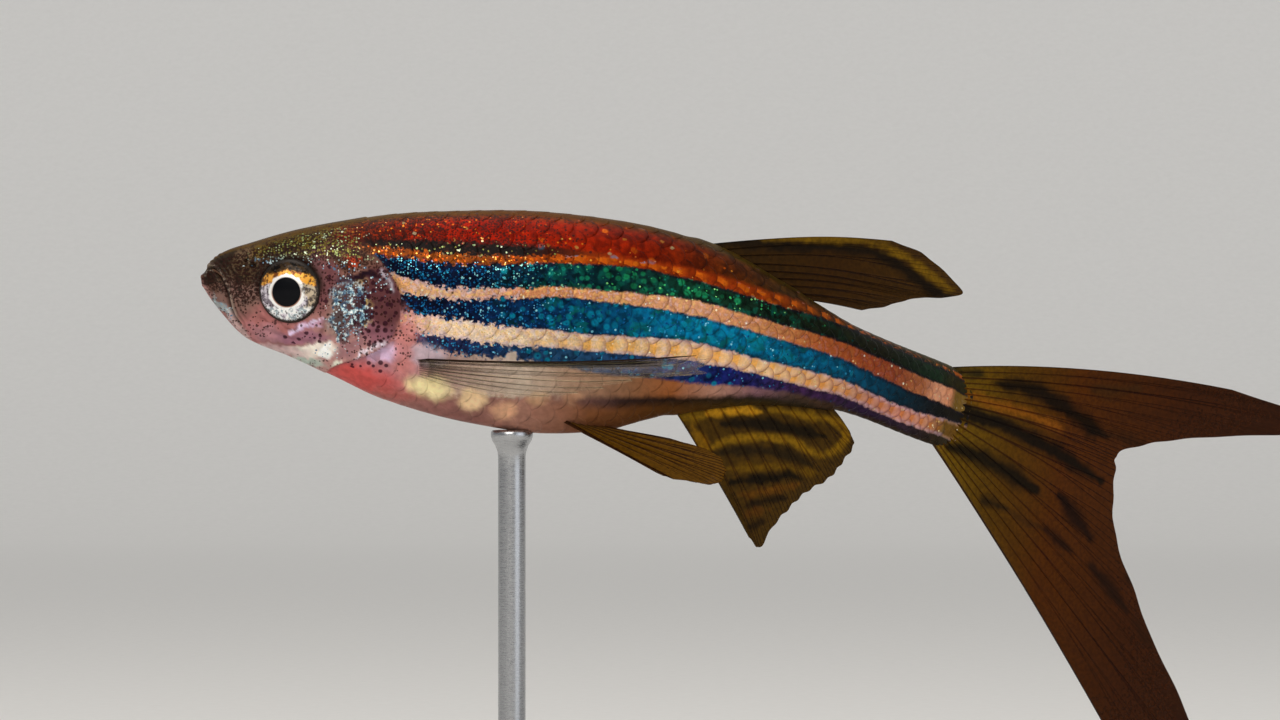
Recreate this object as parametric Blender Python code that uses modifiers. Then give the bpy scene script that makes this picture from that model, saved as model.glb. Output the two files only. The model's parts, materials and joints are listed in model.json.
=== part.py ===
"""Zebra danio: a still, life-size model of the long-finned fish, swimming with its tail bent to its
right, held over a flat oval base by one short rod.

All sizes are millimetres, and the meshes are made in metres. The fish has its own measures: s runs
along the spine from the snout, h is the height above the spine and w the distance to the fish's right.
It faces -X, and its left flank faces -Y."""

import math

import bmesh
import bpy
import numpy as np

MM = 0.001
GAP = 0.3                       # clear space kept between two pieces that meet

# The fish's length without the tail fin, and where its parts end along the spine.
STANDARD_LENGTH = 36.0
STALK_START = 28.0
SHEET_LENGTH = 60.0             # the median sheet runs on past the body, for the tail fin
SPINE_STEP = 0.1

# The spine's heading in degrees: turn towards +Y, and dip below level.
TURN = [(0, 0), (12, 0), (18, 9), (24, 25), (30, 39), (36, 43), (42, 36), (50, 26), (58, 18), (66, 14)]
DIP = [(0, 1.3), (8, 3.3), (16, 2.1), (21, 10.7), (26, 13.7), (31, 18.4), (36, 16.1), (66, 16)]

# The body's reach above and below the spine, and its half width.
BACK = [(0, 0.30), (0.2, 0.50), (0.5, 0.86), (1, 1.16), (2, 1.52), (4, 2.18), (6, 2.68), (8, 3.10),
        (10, 3.34), (14, 3.56), (18, 3.32), (22, 2.88), (26, 1.90), (30, 1.28), (36, 1.42)]
BELLY = [(0, 0.60), (0.2, 0.88), (0.5, 1.26), (1, 1.80), (1.5, 2.30), (2, 2.68), (4, 3.43), (6, 4.24),
         (8, 5.04), (12, 5.94), (15, 6.25), (18, 6.02), (20, 5.42), (22, 4.62), (26, 3.38), (32, 2.52),
         (36, 2.44)]
FLANK = [(0, 0.42), (0.2, 0.60), (0.8, 0.95), (2, 1.45), (4, 2.00), (7, 2.40), (10, 2.60), (14, 2.60),
         (18, 2.35), (22, 1.95), (26, 1.52), (30, 1.15), (34, 0.82), (36, 0.62)]
# How square the section is over the back and under the belly: 2 is an ellipse.
BACK_SQUARE = [(0, 2.0), (3, 2.5), (8, 2.3), (16, 2.1), (36, 2.0)]
BELLY_SQUARE = [(0, 2.0), (5, 2.1), (12, 1.9), (20, 1.8), (36, 2.0)]

# The gill cover's rear edge: place along the spine at each angle round the flank, from the throat up.
GILL_EDGE = [(-90, 5.5), (-66, 5.85), (-56, 6.25), (-48, 6.8), (-41, 7.4), (-34, 8.0), (-27, 8.42),
             (-14, 8.68), (-5, 8.62), (3, 8.3), (14, 7.85), (34, 7.38), (90, 6.95)]
GILL_LIFT = 0.12
GILL_STEP_LENGTH = 0.9

# The mouth: the gape runs from the notch in front down to the corner, then back under the jaw joint.
GAPE = [(0.20, 0.45), (0.57, 0.02), (0.83, -0.20), (1.05, -0.52), (1.18, -0.90), (1.31, -1.38),
        (1.48, -1.77), (1.75, -2.08)]
JAW_JOINT = (2.15, -3.4)
LIP_HEIGHT = 0.11
LIP_REACH = 0.22

EYE_PLACE = (3.87, -0.56)
EYE_RADIUS = 1.32
EYE_HALF_DEPTH = 0.80
EYE_SUNK = 0.48

NOSTRILS = [(1.92, 0.72, 0.15), (2.25, 0.50, 0.19)]

HEAD_RINGS = 30
HEAD_SIDES = 40
TRUNK_RINGS = 22
TRUNK_SIDES = 32
STALK_RINGS = 9
STALK_SIDES = 24

# Fins: the membrane and the ridge of a ray over it, as half thicknesses.
MEMBRANE_HALF = 0.25
RAY_HALF = 0.34
TIP_HALF = 0.13
TIP_TAPER_START = 0.72
MEMBRANE_SHORT = 0.035          # the margin dips this share of a ray's length between two rays

# Each median fin in the fish's own (s, h): where its base starts and ends along the spine, and the
# margin that its rays reach, from the leading ray to the last.
DORSAL_BASE = (21.1, 26.4)
DORSAL_MARGIN = [(31.4, 5.75), (33.2, 5.7), (34.6, 5.35), (36.0, 4.8), (34.9, 4.2), (33.4, 3.75),
                 (32.2, 3.2), (31.2, 2.6), (30.0, 2.05)]
ANAL_BASE = (21.5, 29.3)
ANAL_MARGIN = [(26.6, -9.3), (27.3, -9.7), (28.0, -8.4), (28.7, -7.4), (29.6, -6.5), (30.5, -5.7),
               (31.1, -4.8), (31.4, -3.9), (31.1, -3.35)]
UPPER_LOBE_ROOT = (1.15, -0.30)
UPPER_LOBE_MARGIN = [(52.0, 4.75), (55.4, 4.75), (58.2, 4.4), (55.2, 3.45), (52.0, 2.45), (49.6, 1.6),
                     (48.0, 0.9), (46.9, 0.15)]
LOWER_LOBE_ROOT = (-0.60, -2.15)
LOWER_LOBE_MARGIN = [(47.0, -0.45), (47.2, -1.9), (48.0, -3.6), (49.6, -5.5), (51.2, -7.6),
                     (53.2, -9.6), (55.2, -11.9), (56.4, -14.0), (53.6, -13.6), (50.6, -12.7)]

# Paired fins: the root's two ends on the body as (s, degrees round the flank), and each ray's reach as
# (back, up, out) from its root, from the leading ray to the last.
PECTORAL_ROOT = ((8.9, -38.8), (9.15, -46.5))
PECTORAL_REACH = [(12.8, 1.2, 4.3), (13.5, 1.1, 4.4), (13.1, 0.6, 4.2), (11.2, 0.55, 3.5),
                  (9.1, 0.05, 2.7), (7.2, -0.3, 1.9), (4.8, -0.5, 1.0)]
PELVIC_ROOT = ((15.6, -66.0), (17.0, -79.0))
PELVIC_REACH = [(5.0, -1.85, 1.5), (6.3, -1.95, 1.6), (6.7, -1.45, 1.3), (6.4, -0.75, 1.0), (5.4, -0.1, 0.7),
                (4.1, 0.3, 0.4)]

# The stand.
BASE_LENGTH = 40.0
BASE_WIDTH = 26.0
BASE_HEIGHT = 2.5
BASE_ROUNDING = 0.5
ROD_RADIUS = 0.6
ROD_PLACE = 13.5                # along the spine
SOCKET_DEPTH = 1.2
TIP_CLEARANCE = 0.8             # between the tail fin's lowest point and the floor
SNOUT_X = -20.0
SNOUT_Y = -5.0


def curve_through(knots):
    """A smooth curve through (place, value) knots that never overshoots them."""
    places = np.array([k[0] for k in knots], float)
    values = np.array([k[1] for k in knots], float)
    steps = np.diff(places)
    slopes = np.diff(values) / steps
    leans = np.zeros(len(places))
    leans[0] = slopes[0]
    leans[-1] = slopes[-1]
    for i in range(1, len(places) - 1):
        if slopes[i - 1] * slopes[i] > 0:
            before = 2 * steps[i] + steps[i - 1]
            after = steps[i] + 2 * steps[i - 1]
            leans[i] = (before + after) / (before / slopes[i - 1] + after / slopes[i])

    def value(place):
        p = np.clip(place, places[0], places[-1])
        i = np.clip(np.searchsorted(places, p) - 1, 0, len(steps) - 1)
        t = (p - places[i]) / steps[i]
        rise = values[i] * (1 + 2 * t) * (1 - t) ** 2 + values[i + 1] * t * t * (3 - 2 * t)
        return rise + steps[i] * t * (1 - t) * (leans[i] * (1 - t) - leans[i + 1] * t)

    return value


turn_at = curve_through(TURN)
dip_at = curve_through(DIP)
back_at = curve_through(BACK)
belly_at = curve_through(BELLY)
flank_at = curve_through(FLANK)
back_square_at = curve_through(BACK_SQUARE)
belly_square_at = curve_through(BELLY_SQUARE)
gill_edge_at = curve_through(GILL_EDGE)


def follow_spine():
    """Points along the spine and its directions: back along it, up, and to the fish's right."""
    s = np.arange(0, SHEET_LENGTH + SPINE_STEP, SPINE_STEP)
    turn = np.radians(turn_at(s))
    dip = np.radians(dip_at(s))
    back = np.stack([np.cos(dip) * np.cos(turn), np.cos(dip) * np.sin(turn), -np.sin(dip)], axis=1)
    moves = (back[1:] + back[:-1]) / 2 * SPINE_STEP
    centre = np.vstack([np.zeros(3), np.cumsum(moves, axis=0)])
    up = np.array([0, 0, 1.0]) - back[:, 2:3] * back
    up /= np.linalg.norm(up, axis=1)[:, None]
    return s, centre, back, up, np.cross(up, back)


SPINE_S, SPINE_CENTRE, SPINE_BACK, SPINE_UP, SPINE_SIDE = follow_spine()


def along(track, s):
    return np.array([np.interp(s, SPINE_S, track[:, axis]) for axis in range(3)])


def body_point(s, h, w):
    """World place, before the fish is lifted onto its stand, of a point in the fish's own measures."""
    inside = min(max(s, 0.0), SHEET_LENGTH)
    beyond = (s - inside) * along(SPINE_BACK, inside)
    return along(SPINE_CENTRE, inside) + beyond + h * along(SPINE_UP, inside) + w * along(SPINE_SIDE, inside)


LOWEST_TIP = min(body_point(s, h, 0)[2] for s, h in LOWER_LOBE_MARGIN)
FISH_PLACE = np.array([SNOUT_X, SNOUT_Y, TIP_CLEARANCE + MEMBRANE_HALF - LOWEST_TIP])


def place(s, h, w):
    return FISH_PLACE + body_point(s, h, w)


def signed_power(value, power):
    return math.copysign(abs(value) ** power, value)


def section(s, turn):
    """(h, w) of the skin at an angle round the section, from the right flank up over the back."""
    square = back_square_at(s) if math.sin(turn) >= 0 else belly_square_at(s)
    reach = back_at(s) if math.sin(turn) >= 0 else belly_at(s)
    h = reach * signed_power(math.sin(turn), 2 / square)
    w = flank_at(s) * signed_power(math.cos(turn), 2 / square)
    return h, w


def flank_angle(turn):
    """Degrees above the flank's widest line, alike on both sides."""
    return math.degrees(math.asin(max(-1.0, min(1.0, math.sin(turn)))))


def skin(s, turn, grow=0.0):
    """(s, h, w) of the skin, moved out by grow square to the section's outline."""
    h, w = section(s, turn)
    reach = back_at(s) if h >= 0 else belly_at(s)
    out = np.array([h / reach ** 2, w / flank_at(s) ** 2])
    out /= np.linalg.norm(out)
    return s, h + grow * out[0], w + grow * out[1]


def ease(value):
    t = max(0.0, min(1.0, value))
    return t * t * (3 - 2 * t)


def distance_to_path(point, path):
    """Shortest distance from a point to a chain of straight pieces."""
    best = math.inf
    for a, b in zip(path, path[1:]):
        a = np.array(a)
        run = np.array(b) - a
        t = max(0.0, min(1.0, np.dot(point - a, run) / np.dot(run, run)))
        best = min(best, np.linalg.norm(point - a - t * run))
    return best


def gill_lift(turn):
    """The gill cover stands proud on the flanks, and runs smooth into the nape and the throat."""
    return GILL_LIFT * math.cos(turn) ** 2


def head_relief(s, turn):
    """How far the head's skin stands out: lips along the gape, and the gill cover's raised edge."""
    h = section(s, turn)[0]
    lip = LIP_HEIGHT * math.exp(-(distance_to_path(np.array([s, h]), GAPE) / LIP_REACH) ** 2)
    cover = gill_lift(turn) * ease(1 - (gill_edge_at(flank_angle(turn)) - s) / GILL_STEP_LENGTH)
    return lip + cover


def trunk_relief(s, turn):
    """The flank steps down behind the gill cover's edge."""
    behind = s - gill_edge_at(flank_angle(turn)) - GAP
    return -gill_lift(turn) * (1 - ease(behind / GILL_STEP_LENGTH))


def material(name, colour, roughness=0.4, metallic=0.0):
    mat = bpy.data.materials.new(name)
    mat.use_nodes = True
    shader = mat.node_tree.nodes["Principled BSDF"]
    shader.inputs["Base Color"].default_value = (*colour, 1)
    shader.inputs["Roughness"].default_value = roughness
    shader.inputs["Metallic"].default_value = metallic
    mat.diffuse_color = (*colour, 1)
    return mat


def collection(name):
    made = bpy.data.collections.new(name)
    bpy.context.scene.collection.children.link(made)
    return made


def mesh_object(name, points, faces, mat, group):
    """Object from points in millimetres and faces, with its faces pointing out."""
    mesh = bpy.data.meshes.new(name)
    mesh.from_pydata([tuple(MM * np.array(p)) for p in points], [], faces)
    bm = bmesh.new()
    bm.from_mesh(mesh)
    bmesh.ops.recalc_face_normals(bm, faces=bm.faces)
    bm.to_mesh(mesh)
    bm.free()
    mesh.shade_smooth()
    made = bpy.data.objects.new(name, mesh)
    if mat:
        mesh.materials.append(mat)
    group.objects.link(made)
    return made


def loft(name, rings, ends, mat, group):
    """Closed body through rings of points, each end closed by a fan to its own centre point."""
    sides = len(rings[0])
    points = [p for ring in rings for p in ring] + list(ends)
    first_centre = len(points) - 2
    last_centre = len(points) - 1
    last_ring = (len(rings) - 1) * sides
    faces = []
    for i in range(sides):
        j = (i + 1) % sides
        for r in range(0, last_ring, sides):
            faces.append((r + i, r + j, r + sides + j, r + sides + i))
        faces.append((i, first_centre, j))
        faces.append((last_ring + i, last_ring + j, last_centre))
    return mesh_object(name, points, faces, mat, group)


def ring_of(sides, point_at):
    return [point_at(2 * math.pi * i / sides) for i in range(sides)]


def make_head(name, mat, group):
    """Head from the snout to the gill cover's edge, with finer rings over the mouth."""
    rings = []
    for k in range(HEAD_RINGS + 1):
        share = (k / HEAD_RINGS) ** 1.5

        def point_at(turn):
            s = share * gill_edge_at(flank_angle(turn))
            return place(*skin(s, turn, head_relief(s, turn)))

        rings.append(ring_of(HEAD_SIDES, point_at))
    ends = (place(-0.10, -0.12, 0), place(gill_edge_at(0), 0, 0))
    return loft(name, rings, ends, mat, group)


def make_trunk(mat, group):
    """Trunk from behind the gill cover to the tail stalk."""
    rings = []
    for k in range(TRUNK_RINGS + 1):
        share = (k / TRUNK_RINGS) ** 1.15

        def point_at(turn):
            start = gill_edge_at(flank_angle(turn)) + GAP
            s = start + share * (STALK_START - start)
            return place(*skin(s, turn, trunk_relief(s, turn)))

        rings.append(ring_of(TRUNK_SIDES, point_at))
    ends = (place(gill_edge_at(0) + GAP, 0, 0), place(STALK_START, 0, 0))
    return loft("trunk", rings, ends, mat, group)


def make_tail_stalk(mat, group):
    """Tail stalk from the trunk to the tail fin's root."""
    start = STALK_START + GAP
    rings = []
    for k in range(STALK_RINGS + 1):
        s = start + (STANDARD_LENGTH - start) * k / STALK_RINGS
        rings.append(ring_of(STALK_SIDES, lambda turn: place(*skin(s, turn))))
    ends = (place(start, 0, 0), place(STANDARD_LENGTH, 0, 0))
    return loft("tail_stalk", rings, ends, mat, group)


def hidden_cutter(cutter):
    cutter.hide_render = True
    cutter.display_type = "WIRE"
    return cutter


def jaw_block(name, inset, group):
    """Block as wide as the head that holds all below and before the gape, drawn back by inset."""
    path = np.array(GAPE + [JAW_JOINT])
    runs = np.gradient(path, axis=0)
    square = np.stack([runs[:, 1], -runs[:, 0]], axis=1)
    square /= np.linalg.norm(square, axis=1)[:, None]
    edge = path + inset * square
    outline = [edge[0] + (edge[0] - edge[1]) * 3] + list(edge) + [np.array([edge[-1][0], -6.0])]
    outline += [np.array([-2.0, -6.0]), np.array([-2.0, outline[0][1]])]
    count = len(outline)
    points = [place(s, h, w) for w in (-4, 4) for s, h in outline]
    faces = [tuple(range(count)), tuple(range(2 * count - 1, count - 1, -1))]
    for i in range(count):
        j = (i + 1) % count
        faces.append((i, i + count, j + count, j))
    return hidden_cutter(mesh_object(name, points, faces, None, group))


def skin_frame(s, h, side):
    """Point of the skin at (s, h) on one side, and the direction square to the skin there."""
    def at(s, h):
        reach = back_at(s) if h >= 0 else belly_at(s)
        square = back_square_at(s) if h >= 0 else belly_square_at(s)
        w = flank_at(s) * (1 - min(1, abs(h) / reach) ** square) ** (1 / square)
        return place(s, h, side * w)

    step = 0.05
    out = np.cross(at(s + step, h) - at(s - step, h), at(s, h + step) - at(s, h - step))
    out *= -side / np.linalg.norm(out)
    return at(s, h), out


def round_piece(name, centre, axis, radius, half_depth, mat, group, segments=24, rings=14):
    """Sphere flattened along its axis."""
    bpy.ops.mesh.primitive_uv_sphere_add(segments=segments, ring_count=rings, radius=1)
    made = bpy.context.object
    made.name = name
    made.data.name = name
    helper = np.array([0, 0, 1.0])
    across = np.cross(helper, axis)
    across /= np.linalg.norm(across)
    third = np.cross(axis, across)
    for vertex in made.data.vertices:
        x, y, z = vertex.co
        vertex.co = MM * (centre + radius * (x * across + y * third) + half_depth * z * axis)
    made.data.shade_smooth()
    for held in made.users_collection:
        held.objects.unlink(made)
    if mat:
        made.data.materials.append(mat)
    group.objects.link(made)
    return made


def boolean(target, cutter, operation):
    modifier = target.modifiers.new(cutter.name, "BOOLEAN")
    modifier.operation = operation
    modifier.object = cutter


def make_eyes_and_sockets(head, mat, group, cutters):
    for word, side in (("left", -1), ("right", 1)):
        surface, out = skin_frame(*EYE_PLACE, side)
        centre = surface - EYE_SUNK * out
        round_piece("eye_" + word, centre, out, EYE_RADIUS, EYE_HALF_DEPTH, mat, group)
        socket = round_piece("socket_" + word, centre, out, EYE_RADIUS + GAP, EYE_HALF_DEPTH + GAP,
                             None, cutters)
        boolean(head, hidden_cutter(socket), "DIFFERENCE")


def make_nostrils(head, cutters):
    for word, side in (("left", -1), ("right", 1)):
        for number, (s, h, radius) in enumerate(NOSTRILS, 1):
            surface, out = skin_frame(s, h, side)
            pit = round_piece(f"nostril_{word}_{number}", surface, out, radius, radius, None, cutters, 10, 6)
            boolean(head, hidden_cutter(pit), "DIFFERENCE")


def spread(knots, count):
    """Count points evenly spaced by share along a smooth curve through the knots."""
    knots = [np.array(k, float) for k in knots]
    places = np.linspace(0, 1, len(knots))
    curves = [curve_through(list(zip(places, [k[axis] for k in knots]))) for axis in range(len(knots[0]))]
    return [np.array([curve(share) for curve in curves]) for share in np.linspace(0, 1, count)]


def fin_object(name, sheet, mat, group):
    """Fin from a sheet of points, [column][row], where each even column runs along a ray.

    A ray is a ridge raised in the membrane's own surface, and both faces are split into triangles
    alike."""
    sheet = np.array(sheet)
    columns, rows = sheet.shape[:2]
    across = np.gradient(sheet, axis=0)
    outward = np.gradient(sheet, axis=1)
    normal = np.cross(across, outward)
    normal /= np.linalg.norm(normal, axis=2)[:, :, None]
    half = np.zeros((columns, rows))
    for c in range(columns):
        full = RAY_HALF if c % 2 == 0 else MEMBRANE_HALF
        for r in range(rows):
            taper = ease((r / (rows - 1) - TIP_TAPER_START) / (1 - TIP_TAPER_START))
            half[c][r] = full + (TIP_HALF - full) * taper
    front = (sheet + normal * half[:, :, None]).reshape(-1, 3)
    rear = (sheet - normal * half[:, :, None]).reshape(-1, 3)
    total = columns * rows
    faces = []
    for c in range(columns - 1):
        for r in range(rows - 1):
            a = c * rows + r
            b = a + rows
            for trio in ((a, b, b + 1), (a, b + 1, a + 1)) if c % 2 else ((a, b, a + 1), (b, b + 1, a + 1)):
                faces.append(trio)
                faces.append(tuple(total + i for i in reversed(trio)))
    rim = [c * rows for c in range(columns)]
    rim += [(columns - 1) * rows + r for r in range(1, rows)]
    rim += [c * rows + rows - 1 for c in range(columns - 2, -1, -1)]
    rim += list(range(rows - 2, 0, -1))
    for i, j in zip(rim, rim[1:] + rim[:1]):
        faces.append((i, total + i, total + j))
        faces.append((i, total + j, j))
    return mesh_object(name, list(front) + list(rear), faces, mat, group)


def ray_sheet(roots, tips, rows, to_world, bow=0.0):
    """Sheet of points between matching roots and tips; bow arches each ray, as a share of its length."""
    sheet = []
    for c, (root, tip) in enumerate(zip(roots, tips)):
        end = 1 if c % 2 == 0 else 1 - MEMBRANE_SHORT
        arch = bow * np.linalg.norm(tip - root)
        column = []
        for r in range(rows):
            t = end * r / (rows - 1)
            point = root + (tip - root) * t
            point[1] += arch * 4 * t * (1 - t)
            column.append(to_world(point))
        sheet.append(column)
    return sheet


def make_median_fin(name, base, margin, contour_at, sign, rays, rows, bow, mat, group):
    """Dorsal or anal fin, whose rays stand along the body's outline and follow the median sheet."""
    columns = 2 * rays - 1
    roots = []
    for s in np.linspace(base[0], base[1], columns):
        roots.append(np.array([s, sign * (contour_at(s) + GAP)]))
    tips = spread(margin, columns)
    sheet = ray_sheet(roots, tips, rows, lambda p: place(p[0], p[1], 0), bow)
    return fin_object(name, sheet, mat, group)


def make_tail_lobe(name, root, margin, rays, rows, bow, mat, group):
    """One lobe of the tail fin, from the end of the tail stalk."""
    columns = 2 * rays - 1
    roots = [np.array([STANDARD_LENGTH + GAP, h]) for h in np.linspace(root[0], root[1], columns)]
    sheet = ray_sheet(roots, spread(margin, columns), rows, lambda p: place(p[0], p[1], 0), bow)
    return fin_object(name, sheet, mat, group)


def make_paired_fin(name, root, reach, side, rays, rows, mat, group):
    """Pectoral or pelvic fin, standing clear of the skin by the gap and its own half thickness."""
    columns = 2 * rays - 1
    reaches = spread(reach, columns)
    sheet = []
    for c in range(columns):
        share = c / (columns - 1)
        s = root[0][0] + (root[1][0] - root[0][0]) * share
        angle = math.radians(root[0][1] + (root[1][1] - root[0][1]) * share)
        start = place(*skin(s, angle if side > 0 else math.pi - angle, GAP + RAY_HALF))
        back = along(SPINE_BACK, s)
        up = along(SPINE_UP, s)
        out = side * along(SPINE_SIDE, s)
        end = 1 if c % 2 == 0 else 1 - MEMBRANE_SHORT
        column = []
        for r in range(rows):
            t = end * r / (rows - 1)
            column.append(start + t * (reaches[c][0] * back + reaches[c][1] * up + reaches[c][2] * out))
        sheet.append(column)
    return fin_object(name, sheet, mat, group)


def make_stand(base_mat, rod_mat, group, cutters):
    """Flat oval base with a blind hole that takes the rod, and the rod up to the belly."""
    foot = place(ROD_PLACE, 0, 0)
    belly = place(ROD_PLACE, -belly_at(ROD_PLACE), 0)

    bpy.ops.mesh.primitive_cylinder_add(vertices=64, radius=MM, depth=MM * BASE_HEIGHT)
    base = bpy.context.object
    base.name = "stand_base"
    for vertex in base.data.vertices:
        vertex.co.x *= BASE_LENGTH / 2
        vertex.co.y *= BASE_WIDTH / 2
        vertex.co.z += MM * BASE_HEIGHT / 2
    bevel = base.modifiers.new("rounding", "BEVEL")
    bevel.width = MM * BASE_ROUNDING
    bevel.segments = 3

    socket_floor = BASE_HEIGHT - SOCKET_DEPTH
    bpy.ops.mesh.primitive_cylinder_add(vertices=24, radius=MM * (ROD_RADIUS + GAP), depth=MM * 2 * SOCKET_DEPTH)
    socket = bpy.context.object
    socket.name = "rod_socket"
    socket.location = MM * np.array([foot[0], foot[1], socket_floor + SOCKET_DEPTH])
    boolean(base, hidden_cutter(socket), "DIFFERENCE")

    bottom = socket_floor + GAP
    top = belly[2] - GAP
    bpy.ops.mesh.primitive_cylinder_add(vertices=20, radius=MM * ROD_RADIUS, depth=MM * (top - bottom))
    rod = bpy.context.object
    rod.name = "stand_rod"
    rod.location = MM * np.array([foot[0], foot[1], (top + bottom) / 2])
    bevel = rod.modifiers.new("rounding", "BEVEL")
    bevel.width = MM * 0.15
    bevel.segments = 2

    for made, mat, held_by in ((base, base_mat, group), (socket, None, cutters), (rod, rod_mat, group)):
        made.data.name = made.name
        for held in made.users_collection:
            held.objects.unlink(made)
        held_by.objects.link(made)
        if mat:
            made.data.materials.append(mat)


def main():
    for old in list(bpy.data.objects):
        bpy.data.objects.remove(old, do_unlink=True)

    fish = collection("zebra_danio")
    cutters = collection("cutters")

    head = make_head("head", material("head_skin", (0.55, 0.36, 0.33), 0.3, 0.2), fish)
    jaw = make_head("lower_jaw", material("jaw_skin", (0.30, 0.24, 0.22), 0.3, 0.2), fish)
    boolean(head, jaw_block("jaw_space", 0.0, cutters), "DIFFERENCE")
    boolean(jaw, jaw_block("jaw_shape", GAP, cutters), "INTERSECT")
    make_eyes_and_sockets(head, material("eye", (0.72, 0.68, 0.55), 0.1, 0.5), fish, cutters)
    make_nostrils(head, cutters)

    make_trunk(material("trunk_skin", (0.10, 0.28, 0.36), 0.25, 0.4), fish)
    make_tail_stalk(material("stalk_skin", (0.12, 0.24, 0.30), 0.25, 0.4), fish)

    make_median_fin("dorsal_fin", DORSAL_BASE, DORSAL_MARGIN, back_at, 1, 9, 12, 0.005,
                    material("dorsal_membrane", (0.35, 0.30, 0.14)), fish)
    make_median_fin("anal_fin", ANAL_BASE, ANAL_MARGIN, belly_at, -1, 12, 10, 0.0,
                    material("anal_membrane", (0.42, 0.36, 0.12)), fish)
    tail_mat = material("tail_membrane", (0.40, 0.30, 0.14))
    make_tail_lobe("caudal_fin_upper", UPPER_LOBE_ROOT, UPPER_LOBE_MARGIN, 8, 16, 0.028, tail_mat, fish)
    make_tail_lobe("caudal_fin_lower", LOWER_LOBE_ROOT, LOWER_LOBE_MARGIN, 9, 16, 0.028,
                   material("tail_membrane_lower", (0.40, 0.30, 0.14)), fish)
    for word, side in (("left", -1), ("right", 1)):
        make_paired_fin("pectoral_fin_" + word, PECTORAL_ROOT, PECTORAL_REACH, side, 7, 10,
                        material("pectoral_membrane_" + word, (0.62, 0.52, 0.42)), fish)
        make_paired_fin("pelvic_fin_" + word, PELVIC_ROOT, PELVIC_REACH, side, 6, 8,
                        material("pelvic_membrane_" + word, (0.40, 0.34, 0.16)), fish)

    make_stand(material("stand_base", (0.10, 0.10, 0.11), 0.35),
               material("stand_rod", (0.62, 0.63, 0.65), 0.2, 1.0), fish, cutters)


main()
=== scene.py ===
"""Looks of the zebra danio: one fine skin with its scales, eyes and thin rayed fins, and the stand.

Sizes are millimetres in the fish's own measures, as in the model's source: s runs along the spine from
the snout, h is the height above the spine and w the distance to the fish's right. Meshes are made in
metres. Colours are written as they look on a screen, from 0 to 255."""

import json
import math

import bpy
import numpy as np
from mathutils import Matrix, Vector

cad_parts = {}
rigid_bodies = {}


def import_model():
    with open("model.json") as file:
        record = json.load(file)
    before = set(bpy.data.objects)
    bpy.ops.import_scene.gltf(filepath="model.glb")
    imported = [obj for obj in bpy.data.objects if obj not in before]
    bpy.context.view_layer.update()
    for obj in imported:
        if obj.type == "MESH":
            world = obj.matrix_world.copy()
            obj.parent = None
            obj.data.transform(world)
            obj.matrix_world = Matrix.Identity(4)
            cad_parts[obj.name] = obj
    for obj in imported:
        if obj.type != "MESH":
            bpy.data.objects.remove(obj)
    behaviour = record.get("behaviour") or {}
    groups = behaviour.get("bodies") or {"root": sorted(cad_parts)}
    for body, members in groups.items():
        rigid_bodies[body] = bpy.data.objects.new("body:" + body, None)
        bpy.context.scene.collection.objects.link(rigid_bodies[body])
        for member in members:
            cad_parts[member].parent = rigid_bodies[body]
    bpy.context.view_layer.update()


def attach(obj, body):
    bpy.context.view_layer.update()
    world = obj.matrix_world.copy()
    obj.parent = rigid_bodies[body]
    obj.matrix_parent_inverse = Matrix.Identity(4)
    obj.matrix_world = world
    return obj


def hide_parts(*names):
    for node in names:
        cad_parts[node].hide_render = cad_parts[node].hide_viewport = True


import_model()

MM = 0.001
# Kind of a mesh's field with one, three or four values for each point, and the word for its values.
FIELD_KINDS = {1: ("FLOAT", "value"), 3: ("FLOAT_VECTOR", "vector"), 4: ("FLOAT_COLOR", "color")}

# The fish's place and its spine: heading in degrees, turned towards +Y and dipped below level.
FISH_PLACE = (-20.0, -5.0, 25.3439)
SKIN_END = 37.9
SHEET_LENGTH = 60.0
SPINE_STEP = 0.05
TURN = [(0, 0), (12, 0), (18, 9), (24, 25), (30, 39), (36, 43), (42, 36), (50, 26), (58, 18), (66, 14)]
DIP = [(0, 1.3), (8, 3.3), (16, 2.1), (21, 10.7), (26, 13.7), (31, 18.4), (36, 16.1), (66, 16)]

# The body's reach above and below the spine, its half width, and how square its section is.
BACK = [(0, 0.16), (0.1, 0.30), (0.2, 0.46), (0.5, 0.84), (1, 1.16), (2, 1.52), (4, 2.18), (6, 2.68),
        (8, 3.10), (10, 3.34), (14, 3.56), (18, 3.32), (22, 2.88), (26, 1.90), (30, 1.28), (36, 1.42),
        (37, 1.22), (37.9, 0.50)]
BELLY = [(0, 0.50), (0.1, 0.64), (0.2, 0.80), (0.5, 1.20), (1, 1.78), (1.5, 2.30), (2, 2.68), (4, 3.43),
         (6, 4.24), (8, 5.04), (12, 5.94), (15, 6.25), (18, 6.02), (20, 5.42), (22, 4.62), (26, 3.38),
         (32, 2.52), (36, 2.44), (37, 2.20), (37.9, 1.2)]
FLANK = [(0, 0.42), (0.2, 0.60), (0.8, 0.95), (2, 1.45), (4, 2.00), (7, 2.40), (10, 2.60), (14, 2.60),
         (18, 2.35), (22, 1.95), (26, 1.52), (30, 1.15), (34, 0.82), (36, 0.58), (37, 0.22), (37.9, 0.02)]
BACK_SQUARE = [(0, 2.0), (3, 2.5), (8, 2.3), (16, 2.1), (36, 2.0)]
BELLY_SQUARE = [(0, 2.0), (5, 2.1), (12, 1.9), (20, 1.8), (36, 2.0)]

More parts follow.
